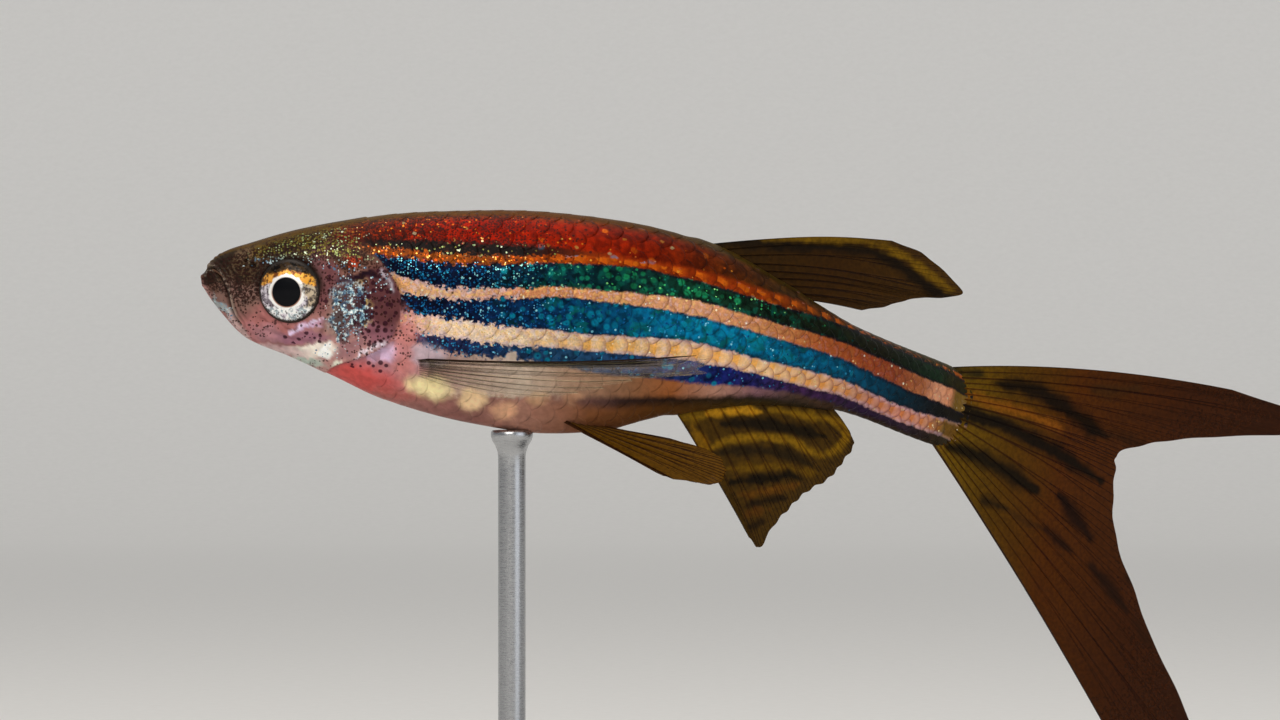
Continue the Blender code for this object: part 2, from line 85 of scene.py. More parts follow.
# The gill cover's rear edge: its place along the spine at angles above the flank's widest line.
GILL_EDGE = [(-90, 5.5), (-66, 5.85), (-56, 6.25), (-48, 6.8), (-41, 7.4), (-34, 8.05), (-27, 8.52),
             (-14, 8.84), (-5, 8.80), (3, 8.45), (14, 7.9), (34, 7.38), (90, 6.95)]
GILL_LIFT = 0.12
GAPE = [(-0.40, 0.02), (0.02, 0.14), (0.18, 0.33), (0.42, 0.36), (0.66, 0.17), (0.86, -0.13), (1.04, -0.50),
        (1.18, -0.90), (1.31, -1.38), (1.48, -1.77), (1.75, -2.08)]
GAPE_DEPTH = 0.12
LIP_HEIGHT = 0.07
LIP_FOLDS = [(0.22, 0.05), (0.40, 0.035), (0.60, 0.03)]
PREOPERCLE = [(6.05, 0.7), (5.8, -0.5), (5.72, -1.5), (5.45, -2.3), (4.8, -2.75), (3.8, -2.62), (2.9, -2.3)]
SUBOPERCLE = [(6.1, -2.35), (6.9, -2.5), (7.7, -2.25), (8.25, -1.7)]
THROAT_LINES = [[(3.4, -2.95), (4.6, -3.25), (5.8, -3.55)], [(3.6, -3.2), (4.8, -3.55), (5.6, -3.8)]]
NOSTRIL_PITS = [((1.92, 0.72), 0.12), ((2.25, 0.50), 0.16)]
NOSTRIL_FLAP = (2.07, 0.64)

EYE_PLACE = (3.87, -0.56)
EYE_RADIUS = 1.42
EYE_HALF_DEPTH = 0.66
EYE_SUNK = 0.36
EYE_RIM = 1.34
PUPIL_RADIUS = 0.64
PUPIL_PLACE = (-0.03, -0.02)
EYE_GRID = (56, 112)
# The iris: its white ring, and the dark and light tone of each patch laid over it in turn.
IRIS_RING = (250, 248, 244)
IRIS_TONES = {
    "rim": ((122, 112, 122), (226, 218, 226)), "behind": ((84, 72, 62), (196, 176, 142)),
    "below": ((168, 184, 190), (255, 255, 252)), "arc": ((120, 64, 12), (240, 168, 52)),
    "lid": ((12, 9, 7), (58, 42, 24)),
}
IRIS_SPECK = (64, 56, 52)
IRIS_EDGE = (56, 50, 46)
PUPIL_RIM = (150, 82, 30)
PUPIL_COLOUR = (3, 4, 8)

# The skin's grid: rows along the fish, finer over the head, and points round the section.
HEAD_ROW = 0.042
BODY_ROW = 0.25
HEAD_END = 9.4
SKIN_SIDES = 232
NOSE_LENGTH = 0.10
NOSE_ROWS = 6
HEAD_INSET = 0.02
BODY_INSET = 0.06

# The scales: how far apart they stand along and across the flank, and each one's own grid.
SCALE_START = 7.6
SCALES_END = 36.0
SCALE_STEP = [(7, 0.86), (14, 1.0), (22, 0.94), (30, 0.74), (36, 0.60)]
SCALE_ROW = [(7, 0.72), (14, 0.80), (22, 0.68), (30, 0.48), (36, 0.42)]
SCALE_RINGS = [0.22, 0.42, 0.60, 0.76, 0.89, 1.0]
SCALE_SEGMENTS = 24
SCALE_RISE = 0.034
SCALE_THICKNESS = 0.018
SCALE_TIP_ROUND = 0.008
# Half a scale's length and width, as shares of the steps between scales.
SCALE_LENGTH = 0.82
SCALE_WIDTH = 0.92
# What a place off the scales has for a scale's measures: reach, distance from its light and random number.
NO_SCALE = (0.0, 9.0, 0.5)

# Stripe edges on the flank: height at places along the spine, from the back down.
EDGES = {
    "red_low": [(6, 1.96), (10, 2.0), (13, 2.05), (15, 1.97), (17, 1.74), (19, 1.56), (21, 1.56),
                (23.4, 1.38), (26, 1.31), (29, 1.21), (36, 1.2)],
    "orange_top": [(6, 1.60), (8.6, 1.55), (10.8, 1.44), (13, 1.47), (15, 1.56), (17, 1.60), (19, 1.46),
                   (21, 1.49), (23.4, 1.28), (26, 1.22), (29, 1.15), (36, 1.16)],
    "blue1_top": [(6, 1.10), (8.65, 1.17), (9.6, 1.09), (10.8, 1.0), (13, 1.12), (15, 1.22), (17, 1.24),
                  (19, 1.18), (21, 1.05), (23.4, 0.88), (26, 0.80), (29, 0.90), (36, 1.0)],
    "salmon_top": [(6, 0.60), (8.2, 0.50), (8.7, 0.32), (10.9, -0.05), (12.6, -0.02), (14.0, 0.06),
                   (15.4, 0.20), (17, 0.13), (19, 0.10), (21.2, 0.18), (23.5, 0.02), (26, 0.0), (29, 0.05),
                   (32, 0.10), (36, 0.25)],
    "blue2_top": [(6, -0.20), (8.75, -0.38), (10.9, -0.55), (12.6, -0.42), (14, -0.34), (15.2, -0.22),
                  (17, -0.37), (19.2, -0.45), (21.4, -0.50), (23.7, -0.61), (26.2, -0.68), (29, -0.66),
                  (32.5, -0.71), (36, -0.58)],
    "cream_top": [(6, -1.10), (9, -1.20), (11, -1.40), (13, -1.60), (15, -1.68), (17.2, -1.84),
                  (19.4, -1.76), (21.6, -1.62), (24, -1.73), (26.6, -1.65), (29.6, -1.51), (33, -1.48),
                  (36, -1.20)],
    "blue3_top": [(6, -2.0), (9.4, -2.03), (11, -2.2), (13, -2.39), (15.2, -2.45), (17.3, -2.54),
                  (19.6, -2.53), (21.8, -2.42), (24.3, -2.36), (27, -2.33), (30, -2.13), (33.4, -2.10),
                  (36, -1.95)],
    "pale_top": [(6, -2.55), (9.7, -2.62), (11.5, -2.92), (13.0, -3.02), (15.0, -3.14), (17.4, -3.52),
                 (19.8, -3.47), (22.2, -3.33), (24.6, -2.98), (27.3, -2.68), (30.5, -2.47), (36, -2.40)],
    "dusk_top": [(6, -4.6), (15.7, -4.63), (17.5, -4.53), (20, -4.28), (22.4, -3.87), (24.8, -3.30),
                 (27.6, -2.90), (36, -2.60)],
    "dusk_low": [(6, -4.7), (15.7, -4.80), (17.5, -4.97), (20.2, -4.65), (22.6, -4.14), (24.8, -3.55),
                 (27.6, -3.10), (36, -2.80)],
}
EDGE_SOFTNESS = 0.12
SOFT_EDGES = {"dusk_low": 0.5, "dusk_top": 0.35, "pale_top": 0.2, "red_low": 0.3}
# Heights between which the stripe edges lie.
EDGE_RANGE = (-6.0, 3.0)

# Colours of the flank's bands, at places along the fish.
BANDS = {
    "back": [(6, (84, 58, 6)), (14, (94, 51, 4)), (22, (60, 42, 6)), (30, (52, 40, 10)),
             (36, (58, 50, 20))],
    "red": [(6, (92, 36, 12)), (9, (142, 30, 6)), (12, (152, 21, 0)), (16, (138, 25, 0)),
            (19, (116, 23, 0)), (22, (82, 31, 3)), (25, (64, 38, 8)), (30, (54, 38, 12)),
            (36, (44, 38, 16))],
    "dark_line": [(6, (50, 28, 26)), (8, (18, 10, 10)), (14, (16, 9, 6)), (17, (84, 26, 8)),
                  (36, (60, 34, 14))],
    "orange": [(6, (84, 50, 28)), (8.5, (148, 66, 10)), (11, (150, 72, 12)), (14, (132, 54, 4)),
               (18, (148, 50, 4)), (21, (138, 43, 3)), (24, (126, 44, 3)), (27, (84, 39, 6)),
               (30, (62, 38, 10)), (33, (44, 32, 12)), (36, (52, 44, 16))],
    "blue1": [(7, (16, 22, 40)), (9, (8, 14, 36)), (12, (6, 18, 42)), (15, (4, 34, 48)), (18, (5, 40, 40)),
              (21, (8, 44, 26)), (24, (12, 30, 18)), (27, (20, 28, 14)), (31, (28, 26, 12)),
              (33, (24, 36, 22)), (35, (26, 46, 28)), (36, (44, 40, 14))],
    "salmon": [(7, (130, 90, 70)), (8.5, (212, 154, 100)), (11, (210, 160, 128)), (14, (204, 130, 86)),
               (18, (202, 138, 94)), (21, (212, 147, 107)), (24, (194, 124, 78)), (27, (168, 84, 40)),
               (30, (148, 64, 30)), (32, (136, 60, 34)), (34, (166, 96, 58)), (35.2, (224, 154, 118)),
               (36.0, (216, 140, 100)), (36.5, (118, 88, 30))],
    "blue2": [(7, (30, 40, 60)), (9, (10, 13, 32)), (12, (7, 24, 56)), (15, (4, 42, 78)),
              (18, (2, 68, 104)), (21, (2, 104, 142)), (24, (2, 102, 140)), (27, (2, 88, 124)),
              (30, (3, 68, 96)), (33, (10, 42, 56)), (35, (22, 24, 26)), (36, (22, 18, 10))],
    "cream": [(7, (160, 138, 124)), (9, (216, 150, 136)), (11, (242, 212, 180)), (14, (234, 204, 168)),
              (18, (226, 190, 144)), (22, (240, 192, 142)), (25, (246, 202, 150)), (28, (232, 176, 128)),
              (31, (194, 132, 108)), (33, (212, 140, 120)), (34.8, (208, 142, 114)), (35.5, (170, 114, 76)),
              (36.2, (108, 84, 24))],
    "blue3": [(9, (60, 50, 78)), (11, (34, 38, 74)), (13, (30, 52, 88)), (16, (30, 66, 98)),
              (20, (30, 52, 94)), (23, (22, 32, 100)), (25, (38, 36, 92)), (27, (62, 34, 72)),
              (31, (50, 32, 60)), (34, (48, 34, 44)), (36, (46, 36, 18))],
    "pale": [(7, (180, 118, 118)), (10, (198, 148, 142)), (12, (186, 156, 142)), (14, (196, 174, 156)),
             (16, (154, 118, 96)), (19, (130, 88, 60)), (21, (150, 86, 44)), (23, (184, 132, 110)),
             (25, (134, 94, 100)), (27, (76, 56, 44)), (31, (54, 34, 16)), (36, (50, 36, 16))],
    "dusk": [(7, (196, 136, 124)), (14, (146, 100, 90)), (18.5, (50, 32, 28)), (22, (40, 27, 16)),
             (26, (40, 36, 30)), (36, (48, 36, 18))],
    "belly": [(5, (200, 110, 100)), (9, (168, 112, 104)), (12, (146, 98, 90)), (14, (172, 122, 104)),
              (17, (124, 76, 46)), (20, (98, 58, 24)), (24, (70, 50, 18)), (36, (54, 42, 16))],
}
BORDER_COLOUR = (20, 12, 30)
FRINGE_COLOUR = (196, 168, 190)
MIDBACK_COLOUR = (44, 36, 16)
TEAL_VEINS = (10, 118, 92)
GILT_FLECKS = (248, 196, 112)
LILAC_FLECKS = (226, 206, 214)
CREAM_MIDDLE = (250, 214, 122)
ORANGE_MIDDLE = (220, 104, 16)
PALE_RIM = (226, 208, 206)
# Colours of the glints, from the many dull ones to the few bright ones.
COOL_GLINTS = [(0, (8, 40, 92)), (0.5, (12, 88, 146)), (0.82, (44, 150, 196)), (1, (150, 224, 240))]
GREEN_GLINTS = [(0, (6, 66, 62)), (0.5, (12, 116, 84)), (0.84, (64, 176, 88)), (1, (160, 226, 130))]
WARM_GLINTS = [(0, (190, 60, 8)), (0.6, (216, 108, 20)), (0.9, (236, 156, 50)), (1, (246, 204, 116))]
CREAM_GLINTS = [(0, (244, 190, 104)), (0.5, (250, 222, 160)), (1, (255, 248, 232))]
PALE_GLINTS = [(0, (60, 92, 124)), (0.45, (134, 172, 196)), (0.8, (206, 228, 232)), (1, (250, 254, 255))]
CROWN_GLINTS = [(0, (90, 76, 26)), (0.5, (126, 122, 56)), (0.85, (152, 172, 112)), (1, (216, 226, 196))]
BLOTCHES = [(0, (52, 78, 106)), (0.4, (108, 146, 164)), (0.75, (168, 200, 208)), (1, (246, 252, 250))]
BLOTCH_GAP = (12, 16, 34)
BLOTCH_GOLD = (196, 160, 84)
PEPPER_COLOUR = (24, 18, 14)
BROAD_COOL = (8, 134, 166)
BROAD_GREEN = (26, 138, 84)
BROAD_WARM = (206, 100, 16)
# Colours of the painted spots of light on some of the red scales.
LENS_SPOTS = [(0, (150, 84, 16)), (0.7, (168, 132, 64)), (1, (176, 170, 140))]
SPECK_COLOUR = (44, 22, 18)
SPOT_COLOUR = (48, 17, 30)
# Random waves that move the patches' edges: height and cells to a millimetre.
WARP_WAVES = [(0.16, 1.5), (0.09, 4.0), (0.05, 9.0)]

# The head's ground colour, by depth below the spine as a share of the belly's reach there.
HEAD_BASE = [(-0.8, (96, 72, 34)), (-0.3, (112, 82, 66)), (0.2, (150, 98, 92)), (1, (196, 148, 142))]
# Soft oval patches: middle (s, h), half sizes, tilt in degrees, colour, strength and softness.
HEAD_PATCHES = [
    ((2.6, -2.2), (2.4, 1.4), 25, (168, 102, 100), 0.85, 0.7),
    ((3.1, -2.5), (0.9, 0.35), 20, (178, 132, 140), 0.7, 0.9),
    ((1.7, -0.35), (1.35, 1.5), 20, (118, 92, 82), 0.9, 0.6),
    ((3.3, 1.25), (3.7, 1.2), -17, (72, 56, 36), 0.95, 0.5),
    ((4.7, 1.85), (2.8, 0.36), -17, (88, 68, 12), 0.85, 0.8),
    ((2.4, 1.12), (0.55, 0.30), -25, (108, 86, 34), 0.85, 0.7),
    ((1.8, 0.92), (0.42, 0.26), -30, (112, 88, 66), 0.8, 0.7),
    ((3.4, 1.22), (0.55, 0.34), -10, (48, 36, 26), 0.85, 0.7),
    ((1.00, 0.78), (0.62, 0.36), -38, (40, 33, 24), 0.9, 0.7),
    ((0.22, -0.12), (0.36, 0.40), 0, (36, 26, 18), 0.95, 0.8),
    ((0.50, -0.60), (0.28, 0.36), 30, (88, 62, 50), 0.85, 0.8),
    ((0.90, -1.40), (0.60, 0.11), 50, (158, 168, 168), 0.85, 0.9),
    ((1.65, -2.15), (0.7, 0.18), 46, (204, 178, 174), 0.7, 0.8),
    ((5.3, 0.2), (0.75, 1.4), 0, (112, 68, 72), 0.9, 0.6),
    ((7.95, -0.9), (1.0, 1.7), 0, (82, 43, 47), 0.92, 0.5),
    ((7.9, -2.15), (0.95, 0.5), 12, (142, 92, 104), 0.8, 0.8),
    ((6.4, 1.35), (1.3, 0.75), 0, (84, 54, 36), 0.85, 0.6),
    ((6.0, -1.55), (0.42, 0.95), 12, (150, 128, 116), 0.8, 0.8),
    ((6.4, 0.12), (0.45, 0.20), 0, (32, 30, 48), 0.85, 0.7),
    ((7.15, 0.27), (0.68, 0.20), -4, (34, 16, 26), 1.0, 0.5),
    ((6.95, -0.08), (0.42, 0.13), 0, (190, 158, 112), 0.75, 0.8),
    ((6.7, 0.98), (0.36, 0.24), 0, (180, 60, 28), 0.9, 0.6),
    ((4.9, -2.02), (0.72, 0.15), -16, (184, 140, 172), 0.7, 0.9),
    ((4.6, -2.58), (1.15, 0.24), 0, (146, 100, 120), 0.75, 0.8),
    # Painted highlight: light reflected off the silvery plate under the cheek, laid as bright white.
    ((5.0, -3.08), (1.10, 0.34), -6, (250, 240, 226), 0.95, 0.6),
    ((3.6, -3.12), (1.1, 0.26), 6, (214, 184, 182), 0.85, 0.8),
    ((4.8, -3.52), (0.7, 0.13), 6, (186, 208, 194), 0.8, 0.8),
    ((6.7, -2.85), (0.8, 0.22), -28, (152, 108, 112), 0.8, 0.8),
    # Painted highlights: the brightest reflections off the same silvery plate.
    ((5.62, -3.10), (0.25, 0.30), -10, (255, 255, 250), 1.0, 0.5),
    ((6.05, -3.52), (0.26, 0.16), -30, (250, 248, 226), 0.95, 0.7),
    ((7.0, 2.15), (1.3, 0.48), -6, (126, 42, 20), 0.95, 0.8),
]
BODY_PATCHES = [
    ((7.6, -3.45), (2.0, 0.95), 8, (184, 120, 126), 0.9, 0.9),
    ((7.0, -4.15), (2.1, 0.55), 12, (206, 82, 76), 0.9, 1.3),
    ((8.2, -2.95), (1.0, 0.36), -4, (218, 186, 214), 0.9, 0.8),
    ((9.0, -2.7), (0.55, 1.5), 0, (200, 124, 118), 0.85, 0.7),
    ((10.1, -3.0), (0.7, 0.45), 0, (196, 184, 198), 0.6, 0.9),
    ((10.1, -4.4), (0.95, 0.50), 8, (255, 232, 172), 1.0, 0.8),
    ((12.0, -4.85), (0.62, 0.55), 5, (255, 214, 164), 1.0, 0.7),
    ((13.4, -5.3), (0.42, 0.36), -20, (236, 178, 138), 0.85, 0.9),
    ((14.8, -4.7), (0.36, 0.30), 0, (206, 160, 118), 0.6, 0.9),
    ((16.2, -4.6), (0.34, 0.28), 0, (190, 140, 104), 0.5, 0.9),
]
# Thin light and dark streaks on the head: path, width, colour, strength.
HEAD_STREAKS = [
    ([(4.1, -2.26), (4.9, -1.98), (5.5, -1.69)], 0.055, (234, 216, 242), 0.95),
    ([(4.1, -2.28), (4.8, -2.17), (5.5, -2.09)], 0.045, (214, 190, 224), 0.7),
    ([(2.6, -1.75), (3.2, -2.0), (3.9, -2.12), (4.3, -2.12)], 0.045, (104, 60, 56), 0.6),
    ([(2.9, -2.70), (4.0, -2.83), (5.0, -2.76), (5.6, -2.72)], 0.05, (140, 92, 80), 0.6),
    ([(6.8, -3.25), (7.3, -2.98), (7.8, -2.68), (8.3, -2.50)], 0.065, (248, 240, 252), 0.95),
    ([(5.75, 0.6), (5.72, -0.6), (5.62, -1.6), (5.45, -2.4)], 0.10, (120, 72, 72), 0.4),
    ([(7.95, 0.5), (8.25, 0.2), (8.46, -0.4)], 0.10, (196, 186, 198), 0.65),
    ([(0.0, 0.06), (0.12, 0.25), (0.30, 0.30), (0.48, 0.24)], 0.035, (150, 140, 128), 0.6),
]
# Where the head glitters (0), and where it has small grains (1) or large spots (2): an oval and a share.
HEAD_MARKS = [
    (0, (4.7, 1.45), (2.6, 0.6), -14, 0.7, 0.62),
    (0, (6.0, 1.65), (1.7, 0.7), -10, 0.7, 0.66),
    (0, (6.6, 0.75), (1.0, 0.45), -5, 0.7, 0.40),
    (0, (2.85, 0.72), (0.5, 0.28), -20, 0.7, 0.35),
    (0, (6.6, -1.2), (0.95, 1.5), 0, 0.5, 0.30),
    (0, (8.0, 0.0), (0.5, 0.5), 0, 0.7, 0.25),
    (0, (1.0, -1.5), (0.7, 0.16), 50, 0.6, 0.35),
    (0, (5.6, -3.1), (0.6, 0.3), -20, 0.8, 0.25),
    (1, (1.6, 0.1), (1.6, 1.5), 0, 0.6, 0.90),
    (1, (1.2, -1.4), (0.8, 0.3), 50, 0.6, 0.10),
    (1, (4.6, 1.4), (2.9, 0.8), -14, 0.6, 0.95),
    (1, (6.3, 1.4), (1.2, 0.8), 0, 0.6, 0.75),
    (1, (5.4, 0.1), (0.7, 1.0), 0, 0.6, 0.40),
    (1, (3.0, -1.95), (1.7, 0.5), 10, 0.6, 0.16),
    (1, (6.4, -1.2), (0.7, 1.5), 0, 0.5, 0.10),
    (1, (7.8, -1.1), (1.0, 1.6), 0, 0.5, 0.22),
    (1, (3.8, -3.05), (2.4, 0.5), 0, 0.5, 0.02),
    (1, (5.3, -3.05), (1.3, 0.5), 0, 0.5, 0.0),
    (1, (4.7, -2.1), (1.3, 0.4), -15, 0.6, 0.04),
    (2, (7.8, -1.2), (1.0, 1.8), 0, 0.5, 0.92),
    (0, (7.15, 0.27), (0.75, 0.25), -4, 0.6, 0.0),
    (1, (7.15, 0.27), (0.7, 0.22), -4, 0.6, 0.3),
    (2, (4.7, -2.6), (1.0, 0.22), 0, 0.6, 0.45),
    (2, (5.75, -0.1), (0.5, 1.1), 0, 0.6, 0.35),
]
# Where the gill cover's silvery blotches lie: middle, half sizes, tilt and softness of ovals.
BLOTCH_PATCHES = [((6.75, -1.15), (0.85, 1.20), -22, 1.0), ((6.15, -1.75), (0.40, 0.65), 20, 1.0),
                  ((6.35, -2.30), (0.38, 0.45), 0, 1.0)]
CROWN_EDGE = (86, 58, 0)
CROWN_TOP = (46, 38, 18)
EYE_SHADE = (46, 38, 32)
UPPER_LIP = (150, 136, 122)
GAPE_SHADE = (36, 27, 24)
FLAP_COLOUR = (140, 126, 100)
# Painted shade in the hollow just behind the gill cover's edge.
GILL_GAP_SHADE = (56, 26, 30)


def curve_through(knots):
    """A smooth curve through (place, value) knots that never overshoots them."""
    places = np.array([k[0] for k in knots], float)
    values = np.array([k[1] for k in knots], float)
    steps = np.diff(places)
    slopes = np.diff(values) / steps
    leans = np.zeros(len(places))
    leans[0] = slopes[0]
    leans[-1] = slopes[-1]
    for i in range(1, len(places) - 1):
        if slopes[i - 1] * slopes[i] > 0:
            before = 2 * steps[i] + steps[i - 1]
            after = steps[i] + 2 * steps[i - 1]
            leans[i] = (before + after) / (before / slopes[i - 1] + after / slopes[i])

    def value(place):
        p = np.clip(place, places[0], places[-1])
        i = np.clip(np.searchsorted(places, p) - 1, 0, len(steps) - 1)
        t = (p - places[i]) / steps[i]
        rise = values[i] * (1 + 2 * t) * (1 - t) ** 2 + values[i + 1] * t * t * (3 - 2 * t)
        return rise + steps[i] * t * (1 - t) * (leans[i] * (1 - t) - leans[i + 1] * t)

    return value


turn_at = curve_through(TURN)
dip_at = curve_through(DIP)
back_at = curve_through(BACK)
belly_at = curve_through(BELLY)
flank_at = curve_through(FLANK)
back_square_at = curve_through(BACK_SQUARE)
belly_square_at = curve_through(BELLY_SQUARE)
gill_edge_at = curve_through(GILL_EDGE)
scale_step_at = curve_through(SCALE_STEP)
scale_row_at = curve_through(SCALE_ROW)


def unit(directions):
    return directions / np.linalg.norm(directions, axis=-1, keepdims=True)


def follow_spine():
    """Points along the spine and its directions: back along it, up, and to the fish's right."""
    s = np.arange(0, SHEET_LENGTH + SPINE_STEP, SPINE_STEP)
    turn = np.radians(turn_at(s))
    dip = np.radians(dip_at(s))
    back = np.stack([np.cos(dip) * np.cos(turn), np.cos(dip) * np.sin(turn), -np.sin(dip)], axis=1)
    moves = (back[1:] + back[:-1]) / 2 * SPINE_STEP
    centre = np.vstack([np.zeros(3), np.cumsum(moves, axis=0)])
    up = unit(np.array([0, 0, 1.0]) - back[:, 2:3] * back)
    return s, centre, back, up, np.cross(up, back)


SPINE_S, SPINE_CENTRE, SPINE_BACK, SPINE_UP, SPINE_SIDE = follow_spine()


def along(track, s):
    return np.stack([np.interp(s, SPINE_S, track[:, axis]) for axis in range(3)], axis=-1)


def place(s, h, w):
    """World place in millimetres of points in the fish's own measures."""
    s, h, w = np.broadcast_arrays(np.asarray(s, float), h, w)
    inside = np.clip(s, 0, SHEET_LENGTH)
    beyond = (s - inside)[..., None] * along(SPINE_BACK, inside)
    centre = np.array(FISH_PLACE) + along(SPINE_CENTRE, inside) + beyond
    return centre + h[..., None] * along(SPINE_UP, inside) + w[..., None] * along(SPINE_SIDE, inside)


def ease(value):
    t = np.clip(value, 0, 1)
    return t * t * (3 - 2 * t)


def bump(distance, reach):
    return np.exp(-(distance / reach) ** 2)


def screen(colour):
    """Linear red, green and blue of a colour given as screen values."""
    c = np.array(colour) / 255
    return np.where(c <= 0.04045, c / 12.92, ((c + 0.055) / 1.055) ** 2.4)


def colour_along(value, knots):
    """Linear colour that runs through (place, screen colour) knots."""
    places = [k[0] for k in knots]
    colours = np.array([screen(k[1]) for k in knots])
    return np.stack([np.interp(value, places, colours[:, c]) for c in range(3)], axis=-1)


def section(s, turn):
    """(h, w) of the body's outline at angles round the section, from the right flank over the back."""
    upper = np.sin(turn) >= 0
    square = np.where(upper, back_square_at(s), belly_square_at(s))
    reach = np.where(upper, back_at(s), belly_at(s))
    h = reach * np.sign(np.sin(turn)) * np.abs(np.sin(turn)) ** (2 / square)
    w = flank_at(s) * np.sign(np.cos(turn)) * np.abs(np.cos(turn)) ** (2 / square)
    return h, w


def flank_angle(turn):
    """Degrees above the flank's widest line, alike on both sides."""
    return np.degrees(np.arcsin(np.clip(np.sin(turn), -1, 1)))


def surface(s, turn):
    """Points of the body's smooth outline, and the directions square to it."""
    def at(s, turn):
        return place(s, *section(np.maximum(s, 0), turn))

    step = 0.03
    out = np.cross(at(s, turn + step) - at(s, turn - step), at(s + step, turn) - at(s - step, turn))
    return at(s, turn), unit(out)


def skin_frame(s, h, side):
    """Point of the skin at (s, h) on one side, and the direction square to the skin there."""
    reach, square = (back_at(s), back_square_at(s)) if h >= 0 else (belly_at(s), belly_square_at(s))
    turn = math.copysign(math.asin((abs(h) / reach) ** (square / 2)), h)
    point, out = surface(np.array(s, float), np.array(turn if side > 0 else math.pi - turn))
    return point, out


def path_distance(s, h, path):
    """Distance to a chain of straight pieces, and the side: positive is to the right of its run."""
    best = np.full(np.shape(s), np.inf)
    side = np.zeros(np.shape(s))
    for (s0, h0), (s1, h1) in zip(path, path[1:]):
        run_s, run_h = s1 - s0, h1 - h0
        t = np.clip(((s - s0) * run_s + (h - h0) * run_h) / (run_s ** 2 + run_h ** 2), 0, 1)
        gap_s, gap_h = s - s0 - t * run_s, h - h0 - t * run_h
        d = np.hypot(gap_s, gap_h)
        side = np.where(d < best, np.sign(run_h * gap_s - run_s * gap_h), side)
        best = np.minimum(best, d)
    return best, side


def from_axis(points, s, h):
    """Distance of points from the line square to the skin at (s, h), on the fish's nearer side."""
    apart = []
    for side in (-1, 1):
        centre, axis = skin_frame(s, h, side)
        ahead = (points - centre) @ axis
        aside = np.linalg.norm(points - centre - ahead[..., None] * axis, axis=-1)
        apart.append(np.where(ahead > -1.3, aside, 9.0))
    return np.minimum(*apart)


def among_corners(corner, u, v):
    """Value between a cell's four corners, each given by corner(0 or 1, 0 or 1)."""
    return (corner(0, 0) * (1 - u) * (1 - v) + corner(1, 0) * u * (1 - v)
            + corner(0, 1) * (1 - u) * v + corner(1, 1) * u * v)


def lattice_noise(x, y, seed):
    """Smooth random values from -1 to 1, one lattice cell a unit wide."""
    draw = np.random.default_rng(seed).uniform(-1, 1, (256, 256))
    i, j = np.floor(x).astype(int), np.floor(y).astype(int)
    return among_corners(lambda a, b: draw[(i + a) % 256, (j + b) % 256], ease(x - i), ease(y - j))


def waves(s, h, seed, sizes):
    """Sum of random waves, given as their height and their cells to a millimetre."""
    return sum(height * lattice_noise(s * cells, h * cells, seed + number)
               for number, (height, cells) in enumerate(sizes))


def warped(s, h):
    """Places moved a little at random, so that soft patches get natural edges."""
    return s + waves(s, h, 11, WARP_WAVES), h + waves(s, h, 21, WARP_WAVES)


def patch_share(s, h, middle, half, tilt, softness):
    """Share of a soft-edged oval patch at each point."""
    c, n = math.cos(math.radians(tilt)), math.sin(math.radians(tilt))
    x, y = s - middle[0], middle[1] - h
    d = np.hypot((x * c + y * n) / half[0], (y * c - x * n) / half[1])
    return ease((1 + softness / 2 - d) / softness)


def cover(paint, colour, share):
    """Paint laid over paint. Its four values are colour times cover, and cover."""
    share = np.asarray(share)[..., None]
    laid = colour if len(colour) == 4 else np.append(screen(colour), 1.0)
    return paint * (1 - share) + laid * share


def linked(name, data):
    made = bpy.data.objects.new(name, data)
    bpy.context.scene.collection.objects.link(made)
    return made


def mesh_object(name, points, faces, material, fields=()):
    """Smooth object made from points in millimetres. Fields have one, three or four values for a point."""
    mesh = bpy.data.meshes.new(name)
    mesh.from_pydata((np.reshape(points, (-1, 3)) * MM).tolist(), [], faces)
    for field, values in dict(fields).items():
        kind, slot = FIELD_KINDS[values.shape[-1]]
        data = mesh.attributes.new(field, kind, "POINT").data
        data.foreach_set(slot, np.ravel(values).astype(np.float32))
    mesh.shade_smooth()
    mesh.materials.append(material)
    return linked(name, mesh)


def grid_faces(rows, columns, closed=False):
    """Quads of a grid of points laid row by row, closed round its columns or not."""
    last = columns if closed else columns - 1
    i, j = np.meshgrid(np.arange(rows - 1), np.arange(last), indexing="ij")
    a, b = i * columns + j, i * columns + (j + 1) % columns
    return np.stack([a, b, b + columns, a + columns], axis=-1).reshape(-1, 4).tolist()


def tube_faces(rows, columns):
    """Faces of a grid that is closed round its columns and at both ends."""
    first, last = range(columns - 1, -1, -1), range((rows - 1) * columns, rows * columns)
    return grid_faces(rows, columns, True) + [list(first), list(last)]


